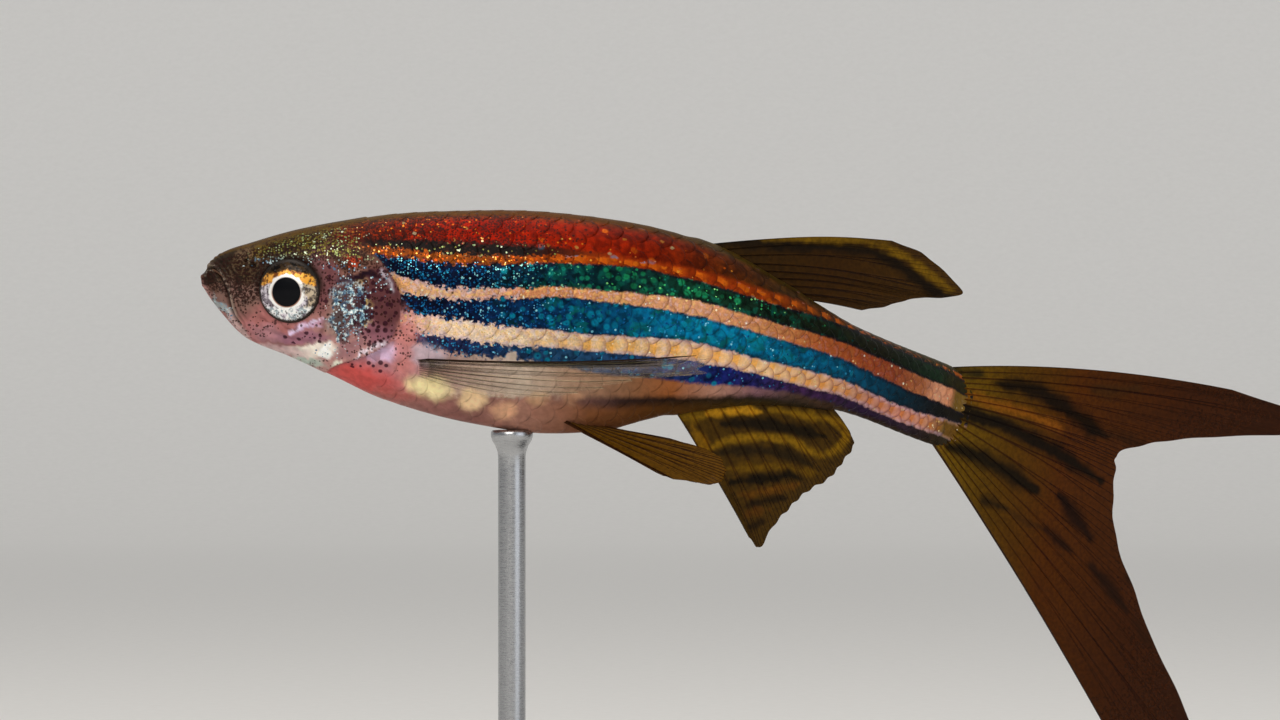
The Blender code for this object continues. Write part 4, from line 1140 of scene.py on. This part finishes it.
def make_eyes(material):
    rings, segments = EYE_GRID
    tilt = np.radians(np.linspace(1.0, 179.0, rings))[:, None]
    around = 2 * math.pi * np.arange(segments) / segments
    x, y = (EYE_RADIUS * np.sin(tilt) * wave(around) for wave in (np.cos, np.sin))
    r = np.hypot(x, y)
    z = (EYE_HALF_DEPTH * np.cos(tilt) - EYE_SUNK)[..., None]
    for word, side in (("left", -1), ("right", 1)):
        skin_point, out = skin_frame(*EYE_PLACE, side)
        up = unit(np.array([0, 0, 1.0]) - out[2] * out)
        to_tail = np.cross(up, out)
        to_tail *= np.sign(to_tail @ along(SPINE_BACK, EYE_PLACE[0]))
        points = skin_point + x[..., None] * to_tail + y[..., None] * up + z * out
        faces = tube_faces(rings, segments)
        if np.cross(to_tail, up) @ out > 0:
            faces = [face[::-1] for face in faces]
        eye = mesh_object("eyeball_" + word, points, faces, material, {"eye": np.stack([x, y, r], axis=-1)})
        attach(eye, "root")
        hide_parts("eye_" + word)


# The fins: where the median ones' bases start and end, and their margins as in the model's source.
DORSAL_BASE = (21.1, 26.4)
DORSAL_MARGIN = [(30.7, 5.58), (32.6, 5.72), (34.3, 5.40), (36.0, 4.75), (34.9, 4.2), (33.4, 3.75),
                 (32.2, 3.2), (31.2, 2.6), (30.0, 2.05)]
ANAL_BASE = (21.5, 29.3)
ANAL_MARGIN = [(26.6, -9.3), (27.3, -9.7), (28.0, -8.4), (28.7, -7.4), (29.6, -6.5), (30.5, -5.7),
               (31.1, -4.8), (31.4, -3.9), (31.1, -3.35)]
TAIL_MARGIN = [(52.0, 4.75), (55.4, 4.75), (58.2, 4.4), (55.2, 3.45), (52.0, 2.45), (49.6, 1.6),
               (48.0, 0.9), (46.9, 0.15), (47.0, -0.45), (47.2, -1.9), (48.0, -3.6), (49.6, -5.5),
               (51.2, -7.6), (53.2, -9.6), (55.2, -11.9), (56.4, -14.0), (53.6, -13.6), (50.6, -12.7)]
# Height of the tail's rays at their roots, by ray, and the place along the spine of the outer ones.
TAIL_ROOT = [(0, 1.15), (7, -0.30), (8, -0.60), (17, -2.15)]
TAIL_ROOT_S = 35.7
# Paired fins: place and angle of both ends of the root, and how far the margin reaches back, up and out.
PECTORAL_ROOT = ((8.9, -38.8), (9.15, -46.5))
PECTORAL_REACH = [(12.8, 1.2, 4.3), (13.5, 1.1, 4.4), (13.1, 0.6, 4.2), (11.2, 0.55, 3.5),
                  (9.1, 0.05, 2.7), (7.2, -0.3, 1.9), (4.8, -0.5, 1.0)]
PELVIC_ROOT = ((15.6, -66.0), (17.0, -79.0))
PELVIC_REACH = [(5.0, -1.85, 1.5), (6.3, -1.95, 1.6), (6.7, -1.45, 1.3), (6.4, -0.75, 1.0),
                (5.4, -0.1, 0.7), (4.1, 0.3, 0.4)]
PAIRED_CLEARANCE = 0.64
ROOT_DEPTH = 0.35
MARGIN_NOTCH = 0.10
# Where rays branch, and branch again, as shares of their length; a pectoral fin's stay single for longer.
BRANCHES = (0.26, 0.55)
PECTORAL_BRANCHES = (0.74, 0.999)
BRANCH_SPREADS = (0.25, 0.125)
MEMBRANE_HALF = 0.022
RAY_HALF = 0.060
RAY_WIDTH = 0.055

# Stripes of the fins: path (s, h), half width, softness, colour and strength.
FIN_STRIPES = {
    "dorsal": [
        ([(21.3, 3.0), (23.4, 3.35), (26.1, 3.75), (28.3, 4.4), (29.8, 4.7), (31.5, 4.7), (33.1, 4.4),
          (34.2, 4.25), (35.2, 4.5)], 0.27, 0.5, (22, 14, 5), 0.95),
        ([(22.2, 3.45), (24, 3.72), (26, 4.15), (28.8, 4.9), (30.6, 5.22), (32.1, 5.15), (33.7, 4.85),
          (35.2, 4.65)], 0.20, 0.6, (110, 80, 8), 0.95),
    ],
    "anal": [
        ([(23.3, -5.55), (23.55, -6.05)], 0.34, 0.8, (122, 82, 6), 0.9),
        ([(21.6, -5.0), (22.2, -4.8), (23.0, -4.6)], 0.30, 0.7, (120, 88, 10), 0.85),
        ([(23.2, -4.4), (23.9, -4.2), (24.9, -3.95), (25.8, -3.8)], 0.17, 0.6, (178, 126, 20), 0.95),
        ([(26.3, -3.6), (27.1, -3.5), (27.9, -3.42), (28.7, -3.3), (29.7, -3.15), (30.6, -3.2),
          (30.85, -3.6), (30.6, -4.25), (29.8, -4.85), (28.8, -4.8), (27.7, -4.55), (25.4, -5.05),
          (24.2, -5.5), (23.6, -5.95)], 0.16, 0.7, (124, 90, 10), 0.92),
        ([(22.6, -5.1), (23.0, -5.5), (23.3, -5.9)], 0.26, 0.8, (118, 82, 8), 0.9),
        ([(24.0, -4.75), (25.0, -4.45), (26.4, -4.25), (28.2, -4.1), (29.7, -3.95)], 0.27, 0.4, (22, 15, 5),
          0.95),
        ([(23.9, -6.1), (24.7, -5.8), (26.9, -5.3), (28.5, -5.3), (29.4, -5.4)], 0.22, 0.5, (34, 24, 8),
          0.9),
        ([(24.6, -6.6), (25.2, -6.5), (26.8, -6.05), (28.6, -5.8), (29.9, -5.6)], 0.17, 0.7, (94, 66, 6),
          0.92),
        ([(25.0, -7.15), (26.4, -6.75), (28.1, -6.15), (28.9, -6.1)], 0.24, 0.4, (18, 12, 4), 0.95),
        ([(25.5, -7.65), (27.0, -7.15), (28.8, -6.4)], 0.18, 0.6, (92, 56, 8), 0.9),
        ([(26.0, -8.0), (27.0, -7.6), (28.2, -7.2)], 0.18, 0.5, (28, 18, 6), 0.9),
        ([(26.2, -8.3), (27.4, -7.85)], 0.16, 0.6, (84, 50, 8), 0.85),
        ([(26.5, -8.85), (27.2, -8.45)], 0.18, 0.5, (32, 20, 7), 0.85),
    ],
    "tail": [
        ([(35.6, 1.25), (36.9, 1.15), (38.2, 1.3)], 0.26, 0.8, (34, 30, 10), 0.85),
        ([(39.1, 1.1), (40.4, 1.25), (41.7, 1.3), (43.6, 1.05), (45.1, 0.7), (46.1, 0.6)],
          0.33, 0.5, (18, 11, 4), 0.95),
        ([(45.7, 0.75), (47.0, 0.85), (48.6, 1.0)], 0.24, 0.8, (40, 22, 8), 0.65),
        ([(44.8, 2.1), (45.9, 2.4), (47.2, 2.8)], 0.26, 0.9, (46, 30, 10), 0.6),
        ([(36.2, -0.45), (38.3, -0.55), (39.8, -0.6), (42.1, -0.75), (44.4, -1.05), (46.3, -1.35)],
          0.36, 0.45, (16, 11, 5), 0.96),
        ([(36.9, -2.35), (39.2, -2.4), (41.2, -2.7), (42.8, -3.0)], 0.40, 0.5, (18, 13, 5), 0.95),
        ([(44.2, -2.8), (45.5, -3.5), (46.6, -4.2)], 0.42, 0.5, (26, 12, 6), 0.93),
        ([(39.8, -4.35), (41.2, -4.45)], 0.30, 0.6, (30, 20, 7), 0.88),
        ([(41.4, -4.5), (42.6, -4.75), (43.8, -4.75)], 0.18, 0.9, (48, 28, 9), 0.6),
        ([(43.9, -4.7), (45.5, -5.2)], 0.32, 0.6, (34, 16, 7), 0.88),
        ([(47.0, -5.45), (48.2, -6.1), (49.3, -6.7)], 0.38, 0.6, (32, 16, 7), 0.9),
        ([(48.6, -5.0), (49.6, -5.4)], 0.24, 0.9, (42, 22, 9), 0.65),
        ([(49.9, -7.1), (51.3, -8.0)], 0.26, 0.9, (42, 22, 9), 0.6),
        ([(36.6, 0.35), (38.8, 0.15), (41.6, 0.25), (43.4, 0.1)], 0.20, 1.0, (150, 84, 16), 0.55),
    ],
}
TAIL_GROUND = [(35, (140, 108, 36)), (37, (106, 78, 8)), (40, (82, 54, 3)), (44, (74, 36, 2)),
               (50, (55, 24, 3)), (58, (42, 18, 4))]
ANAL_GROUND = (64, 43, 4)
DORSAL_GROUND = [(21, (45, 29, 3)), (28, (50, 28, 1)), (36, (66, 42, 4))]
PECTORAL_GROUND = (196, 172, 140)
PELVIC_GROUND = (84, 54, 4)
# How opaque a fin's membrane is at its root and at its tip, and how opaque its stripes are.
FIN_COVERS = (0.97, 0.94)
PELVIC_COVERS = (0.97, 0.92)
PECTORAL_COVERS = (0.05, 0.07)
STRIPE_COVER = 0.98
RAY_SHEEN = (212, 198, 156)
FIN_WAVES = [(0.10, 1.4), (0.07, 3.5)]
PECTORAL_SAG = -0.22
PECTORAL_NOTCH = 6 * MARGIN_NOTCH
# Each fin's number of rays, with the points of its grid across and along them, and its rays' tint.
FIN_GRIDS = {"dorsal": (9, 217, 90), "anal": (13, 265, 80), "tail": (18, 409, 110), "pectoral": (11, 181, 90),
             "pelvic": (7, 121, 60)}
RAY_TINTS = {"dorsal": (176, 156, 124), "anal": (200, 184, 150), "tail": (176, 152, 118),
             "pectoral": (44, 32, 24), "pelvic": (140, 112, 80)}
# Fins of the middle plane: margin, ground, seed of the stripes' waves, arch, ripple and the nodes replaced.
MEDIAN_FINS = {
    "dorsal": (DORSAL_MARGIN, DORSAL_GROUND, 31, 0.005, 0.10, ["dorsal_fin"]),
    "anal": (ANAL_MARGIN, ANAL_GROUND, 41, 0.0, 0.10, ["anal_fin"]),
    "tail": (TAIL_MARGIN, TAIL_GROUND, 51, 0.028, 0.16, ["caudal_fin_upper", "caudal_fin_lower"]),
}


def fin_material(word, ray_cover=0.90, branches=BRANCHES, sheen=0.0):
    """Thin membrane with its rays drawn from the ray count, so that they stay fine at any size."""
    paint = Paint(word + "_rays")
    rays = FIN_GRIDS[word][0]
    x, t, spacing = paint.field("fin").split()
    apart, inner = abs(x - paint.math("ROUND", x)), (x > 0.5) * (x < rays - 1.5)
    for start, share in zip(branches, BRANCH_SPREADS):
        apart = abs(apart - t.ease(start, 1.0) * share * inner)
    apart = apart * spacing
    width = t.ease(0.0, 1.0, RAY_WIDTH, RAY_WIDTH * 0.45)
    ray, beside = apart.ease(width * 1.25, width * 0.5), apart.ease(width * 3.0, width * 1.4, 0.0, sheen)
    grain = paint.noise(6.0, 3.0)
    tint = paint.field("paint", "Color").scaled(grain.ease(0.3, 0.7, 0.78, 1.2))
    tint = tint.mix(RAY_SHEEN, beside).filtered(RAY_TINTS[word], ray)
    along_top = x.ease(2.6, 0.4, 0.0, 1.0 if sheen else 0.0) * (1.0 - ray_cover)
    covered = ray * (along_top + ray_cover) * t.ease(0.0, x.ease(0.0, 9.0, 0.02, 0.14))
    if sheen:
        covered = covered * x.ease(rays - 1.4, rays - 2.2) | beside * 0.4
    return paint.finish(Base_Color=tint, Alpha=paint.field("paint", "Alpha") | covered, Roughness=0.55,
                        Specular_IOR_Level=0.05, Normal=paint.bump(grain, 0.01, 0.5))


def ray_gap(x, t, rays, branches):
    """Distance from the nearest ray or branch, in steps between rays."""
    inner = (x > 0.5) & (x < rays - 1.5)
    apart = np.abs(x - np.round(x))
    for start, share in zip(branches, BRANCH_SPREADS):
        apart = np.abs(apart - share * ease((t - start) / (1 - start)) * inner)
    return apart


def spread_at(knots, share):
    """Points by share along a smooth curve through evenly shared knots."""
    knots = np.array(knots, float)
    places = np.linspace(0, 1, len(knots))
    curves = [curve_through(list(zip(places, knots[:, axis]))) for axis in range(knots.shape[1])]
    return np.stack([curve(share) for curve in curves], axis=-1)


def make_fin(name, grid, roots, tips, ground, material, stands_for, to_world, ripple, branches=BRANCHES,
             notch=MARGIN_NOTCH):
    """Closed thin fin between matching roots and tips, with its rays raised on both faces."""
    rays, columns, rows = grid
    x = np.linspace(0, rays - 1, columns)
    length = np.linalg.norm(tips - roots, axis=1)
    frayed = 1 - notch / length * ease(2 * np.abs(x - np.round(x)))
    t = np.linspace(0, 1, rows)[None, :] * frayed[:, None]
    x = np.broadcast_to(x[:, None], t.shape)
    flat = roots[:, None, :] + (tips - roots)[:, None, :] * t[..., None]
    sheet = to_world(flat, t)
    across, outward = np.gradient(sheet, axis=0), np.gradient(sheet, axis=1)
    normal = unit(np.cross(across, outward))
    spacing = np.linalg.norm(across, axis=2) * (columns - 1) / (rays - 1)
    ridge = bump(ray_gap(x, t, rays, branches) * spacing, RAY_WIDTH)
    half = (MEMBRANE_HALF + RAY_HALF * ridge * (1 - 0.6 * t)) * (1 - 0.75 * ease((t - 0.93) / 0.07))
    wave = ripple * ease(t * 1.3) * (np.sin(x * 1.9 + 3.1 * t) * 0.6 + np.sin(x * 0.83 + 1.7) * 0.4)
    sheet = sheet + normal * wave[:, :, None]
    points = np.stack([sheet + normal * half[:, :, None], sheet - normal * half[:, :, None]])
    total = columns * rows
    front = grid_faces(columns, rows)
    faces = [face[::-1] for face in front] + [[total + i for i in face] for face in front]
    rim = [c * rows for c in range(columns)]
    rim += [(columns - 1) * rows + r for r in range(1, rows)]
    rim += [c * rows + rows - 1 for c in range(columns - 2, -1, -1)]
    rim += list(range(rows - 2, 0, -1))
    faces += [[i, j, total + j, total + i] for i, j in zip(rim, rim[1:] + rim[:1])]
    one_face = {"fin": np.stack([x, t, spacing], axis=-1), "paint": ground(flat, x, t)}
    fields = {field: np.stack([values] * 2) for field, values in one_face.items()}
    fin = mesh_object(name, points, faces, material, fields)
    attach(fin, "root")
    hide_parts(*stands_for)


def striped_ground(base, stripes, seed):
    """Membrane colour from (s, h) with soft stripes over it."""
    base = base if isinstance(base, list) else [(0, base)]

    def ground(flat, x, t):
        s, h = flat[..., 0], flat[..., 1]
        opaque = FIN_COVERS[0] + (FIN_COVERS[1] - FIN_COVERS[0]) * t
        paint = np.concatenate([colour_along(s, base), opaque[..., None]], axis=-1)
        rough = waves(s, h, seed, FIN_WAVES) + 0.06 * lattice_noise(x * 4.0, t * 9.0, seed + 2)
        for path, half, soft, colour, strength in stripes:
            ends = np.minimum(*[np.hypot(s - path[k][0], h - path[k][1]) for k in (0, -1)])
            width = half * (0.45 + 0.55 * ease(ends / (3.5 * half)))
            away = path_distance(s, h, path)[0] + rough
            share = strength * ease((width * (1.3 + soft) - away) / (width * (0.6 + 2 * soft)))
            paint = cover(paint, np.append(screen(colour), STRIPE_COVER), share)
        return paint
    return ground


def median_roots(word, share):
    """(s, h) of the roots of a fin in the middle plane, at shares of its base."""
    if word == "tail":
        h = np.interp(share * (len(TAIL_MARGIN) - 1), *zip(*TAIL_ROOT))
        return np.stack([TAIL_ROOT_S + 0.45 * (1 - (2 * share - 1) ** 2), h], axis=-1)
    first, last = DORSAL_BASE if word == "dorsal" else ANAL_BASE
    s = first + (last - first) * share
    return np.stack([s, back_at(s) - ROOT_DEPTH if word == "dorsal" else ROOT_DEPTH - belly_at(s)], axis=-1)


def make_median_fins():
    """The dorsal, anal and tail fins, which stand in the fish's middle plane."""
    for word, (margin, ground, seed, arch, ripple, stands_for) in MEDIAN_FINS.items():
        def to_world(flat, t):
            length = np.linalg.norm(flat[:, -1] - flat[:, 0], axis=1)[:, None]
            return place(flat[..., 0], flat[..., 1] + arch * length * 4 * t * (1 - t), 0)

        share = np.linspace(0, 1, FIN_GRIDS[word][1])
        make_fin(word + "_fin_rayed", FIN_GRIDS[word], median_roots(word, share), spread_at(margin, share),
                 striped_ground(ground, FIN_STRIPES[word], seed), fin_material(word), stands_for, to_world,
                 ripple)


def make_paired_fins():
    """The pectoral and pelvic fins, which stand out from the body on both sides."""
    def plain(colour, covers, dark_edge):
        def ground(flat, x, t):
            opaque = (covers[0] + (covers[1] - covers[0]) * t) * ease(t / 0.06)
            edge = dark_edge * bump(x - 1.1, 0.9) * ease((t - 0.28) / 0.12) * ease((0.88 - t) / 0.12)
            laid = np.broadcast_to(screen(colour), t.shape + (3,)) * (1 - edge[..., None]) ** 2
            return np.concatenate([laid, np.maximum(opaque, edge)[..., None]], axis=-1)
        return ground

    def blade(word, way, side, root, reach, ground, material, sag, *branching):
        share = np.linspace(0, 1, FIN_GRIDS[word][1])
        s = root[0][0] + (root[1][0] - root[0][0]) * share
        angle = np.radians(root[0][1] + (root[1][1] - root[0][1]) * share)
        skin_point, out = surface(s, angle if side > 0 else math.pi - angle)
        back, up, right = along(SPINE_BACK, s), along(SPINE_UP, s), along(SPINE_SIDE, s)
        reaches = spread_at(reach, share)
        moves = reaches[:, :1] * back + reaches[:, 1:2] * up + side * reaches[:, 2:] * right
        make_fin(word + "_fin_rayed_" + way, FIN_GRIDS[word], skin_point - ROOT_DEPTH * out,
                 skin_point + PAIRED_CLEARANCE * out + moves, ground, material, [word + "_fin_" + way],
                 lambda flat, t: flat + 4 * (t * (1 - t))[..., None] * (0, 0, sag), 0.05, *branching)

    pectoral = fin_material("pectoral", 0.58, PECTORAL_BRANCHES, 0.5)
    pelvic = fin_material("pelvic")
    for way, side in (("left", -1), ("right", 1)):
        blade("pectoral", way, side, PECTORAL_ROOT, PECTORAL_REACH,
              plain(PECTORAL_GROUND, PECTORAL_COVERS, 0.94), pectoral, PECTORAL_SAG, PECTORAL_BRANCHES,
              PECTORAL_NOTCH)
        blade("pelvic", way, side, PELVIC_ROOT, PELVIC_REACH, plain(PELVIC_GROUND, PELVIC_COVERS, 0.0),
              pelvic, 0.0)


# Barbels: the point they grow from, how far they reach back, down and out, and their thickness at the root.
BARBELS = [((1.72, -2.02), (2.5, -0.35, 0.55), 0.075), ((0.42, 0.28), (0.55, -0.35, 0.45), 0.05)]
BARBEL_COLOUR = (92, 66, 52)


def make_barbels(material):
    rows, sides = 26, 12
    around = (2 * math.pi * np.arange(sides) / sides)[None, :, None]
    t = np.linspace(0, 1, rows)[:, None]
    for word, side in (("left", -1), ("right", 1)):
        points, faces, fish = [], [], []
        for (s, h), (back, down, out_reach), thickness in BARBELS:
            root, out = skin_frame(s, h, side)
            aside = (0.10 * np.sqrt(t) + out_reach * t ** 1.2) * side
            middle = (root - 0.08 * out + t * back * along(SPINE_BACK, s)
                      + down * t ** 1.5 * along(SPINE_UP, s) + aside * along(SPINE_SIDE, s))
            run = unit(np.gradient(middle, axis=0))
            first = unit(np.cross(run, out))
            second = np.cross(run, first)
            ring = first[:, None, :] * np.cos(around) + second[:, None, :] * np.sin(around)
            radius = thickness * (1 - 0.72 * t)[..., None]
            faces += [[len(points) + i for i in face] for face in tube_faces(rows, sides)]
            points += list((middle[:, None, :] + radius * ring).reshape(-1, 3))
            fish += [(s, h, -0.3)] * (rows * sides)
        count = len(points)
        fields = {"fish": np.array(fish), "patch": np.tile([*screen(BARBEL_COLOUR), 1.0], (count, 1)),
                  "marks": np.zeros((count, 3)), "scale": np.tile(NO_SCALE, (count, 1)),
                  "flat": np.zeros((count, 3)), "blotch": np.zeros((count, 1))}
        barbels = mesh_object("barbels_" + word, points, faces, material, fields)
        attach(barbels, "root")


# The stand: the rod with a collar at the base and a small cup under the belly.
ROD_PLACE = 13.5
ROD_RADIUS = 0.6
BASE_HEIGHT = 2.5
ROD_FOOT = 1.6
# Radius and height of the collar above the base, and of the cup above its own foot, below the belly.
COLLAR = [(ROD_RADIUS, 0.01), (1.25, 0.01), (1.35, 0.10), (1.35, 0.45), (1.2, 0.60), (0.85, 0.66),
          (ROD_RADIUS + 0.05, 0.80), (ROD_RADIUS, 1.0)]
CUP = [(ROD_RADIUS + 0.03, 0.0), (0.72, 0.25), (0.86, 0.48), (0.92, 0.68), (0.92, 0.84), (0.86, 0.93),
       (0.6, 0.95)]
CUP_DEPTH = 0.9
# Dark and light colour of the base's lacquer, the rod's steel and the floor's paper.
LACQUER = ((20, 19, 20), (44, 39, 37))
STEEL = ((150, 151, 153), (196, 197, 199))
PAPER = ((222, 220, 216), (230, 228, 224))


def base_material():
    """Black lacquered board with faint grain and a soft sheen."""
    paint = Paint("stand_base_lacquer")
    grain = paint.noise(2.4, 4.0, paint.vector("MULTIPLY", paint.place, (0.12, 1.0, 1.0)))
    return paint.finish(Base_Color=paint.mix(*LACQUER, grain.ease(0.35, 0.7)),
                        Roughness=paint.noise(0.5, 5.0).ease(0.3, 0.7, 0.26, 0.40), Coat_Weight=0.5,
                        Coat_Roughness=0.12, Normal=paint.bump(grain, 0.02, 0.4))


def rod_material():
    """Brushed steel, with its fine lines round the rod."""
    paint = Paint("stand_rod_steel")
    brushed = paint.noise(9.0, 3.0, paint.vector("MULTIPLY", paint.place, (0.3, 0.3, 6.0)))
    return paint.finish(Base_Color=paint.mix(*STEEL, brushed), Metallic=1.0,
                        Roughness=brushed.ease(0.3, 0.7, 0.20, 0.34), Normal=paint.bump(brushed, 0.006, 0.6))


def turned(name, centre, profile, segments, material):
    """Closed piece turned about an upright line, from a profile of (radius, height) points."""
    around = 2 * math.pi * np.arange(segments) / segments
    points = [(centre[0] + r * math.cos(a), centre[1] + r * math.sin(a), z)
              for r, z in profile for a in around]
    return mesh_object(name, points, tube_faces(len(profile), segments), material)


def make_stand(nodes):
    cup_foot = place(ROD_PLACE, -belly_at(ROD_PLACE), 0)[2] - CUP_DEPTH
    profile = [(ROD_RADIUS - 0.1, ROD_FOOT), (ROD_RADIUS, ROD_FOOT + 0.1)]
    profile += [(r, BASE_HEIGHT + z) for r, z in COLLAR]
    profile += [(ROD_RADIUS, z) for z in np.linspace(BASE_HEIGHT + 1.2, cup_foot - 0.2, 24)]
    profile += [(r, cup_foot + z) for r, z in CUP]
    rod = turned("stand_rod_cup", place(ROD_PLACE, 0, 0), profile, 64, rod_material())
    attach(rod, "root")
    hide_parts("stand_rod")
    base = nodes["stand_base"]
    base.data.materials.clear()
    base.data.materials.append(base_material())


# The stage: the backdrop's straight floor, the radius that it bends up with, and its own faint light.
FLOOR_HALF_WIDTH = 1200
FLOOR_FRONT = -900
BEND_START = 440
BEND_RADIUS = 300
WALL_TOP = 1200
FLOOR_BELOW = 0.01
GLOW_FROM = 100.0
GLOW_STRENGTH = 0.30
# Lights: place, size, power and colour, all turned towards a point on the fish.
LIGHTS = {
    "key": ((-70, -250, 210), 200, 0.62, (255, 250, 242)),
    "fill": ((230, -220, 60), 220, 0.20, (240, 246, 255)),
    "top": ((10, 30, 300), 240, 0.30, (255, 252, 248)),
}
LIT_POINT = np.array(FISH_PLACE) + (18, 2, -3)
SKY_COLOUR = (232, 234, 238)
SKY_STRENGTH = 0.40
# The camera's place from the snout, in millimetres, and its lens for a sensor 36 mm wide.
CAMERA_FROM_SNOUT = (19.08, -260.0, -3.67)
CAMERA_LENS = 167.46


def make_stage():
    """A pale floor that curves up into a pale backdrop, soft lights and the camera."""
    wall = BEND_START + BEND_RADIUS
    bend = [(BEND_START + BEND_RADIUS * math.sin(a), BEND_RADIUS - BEND_RADIUS * math.cos(a))
            for a in np.radians(np.linspace(0, 90, 36))]
    line = [(FLOOR_FRONT, 0), (0, 0)] + bend + [(wall, WALL_TOP)]
    points = [(x, y, z - FLOOR_BELOW) for x in (-FLOOR_HALF_WIDTH, FLOOR_HALF_WIDTH) for y, z in line]
    count = len(line)
    faces = [[k, count + k, count + k + 1, k + 1] for k in range(count - 1)]
    paint = Paint("floor_paper")
    tint = paint.mix(*PAPER, paint.noise(1.2, 4.0))
    glow = paint.place.split()[1].ease(GLOW_FROM, float(wall), 0.0, GLOW_STRENGTH)
    paper = paint.finish(Base_Color=tint, Roughness=0.9, Emission_Color=tint, Emission_Strength=glow)
    made = [mesh_object("floor", points, faces, paper)]

    for name, (spot, size, power, colour) in LIGHTS.items():
        light = bpy.data.lights.new(name, "AREA")
        light.shape = "SQUARE"
        light.size = size * MM
        light.energy = power
        light.color = screen(colour)
        lamp = linked(name, light)
        lamp.location = np.array(spot) * MM
        aim = Vector((np.array(spot) - LIT_POINT).tolist())
        lamp.rotation_euler = aim.to_track_quat("Z", "Y").to_euler()
        made.append(lamp)
    world = bpy.data.worlds.new("studio")
    world.use_nodes = True
    sky = world.node_tree.nodes["Background"].inputs
    sky[0].default_value = (*screen(SKY_COLOUR), 1.0)
    sky[1].default_value = SKY_STRENGTH
    bpy.context.scene.world = world
    bpy.context.scene.view_settings.view_transform = "Standard"

    lens = bpy.data.cameras.new("photo_view")
    lens.lens = CAMERA_LENS
    lens.sensor_width = 36.0
    camera = linked("photo_view", lens)
    camera.location = (np.array(FISH_PLACE) + CAMERA_FROM_SNOUT) * MM
    camera.rotation_euler = (math.pi / 2, 0, 0)
    bpy.context.scene.camera = camera


skin = skin_material()
make_skin(skin)
make_scales(skin)
make_eyes(eye_material())
make_median_fins()
make_paired_fins()
make_barbels(skin)
make_stand({o.name: o for o in bpy.data.objects})
make_stage()
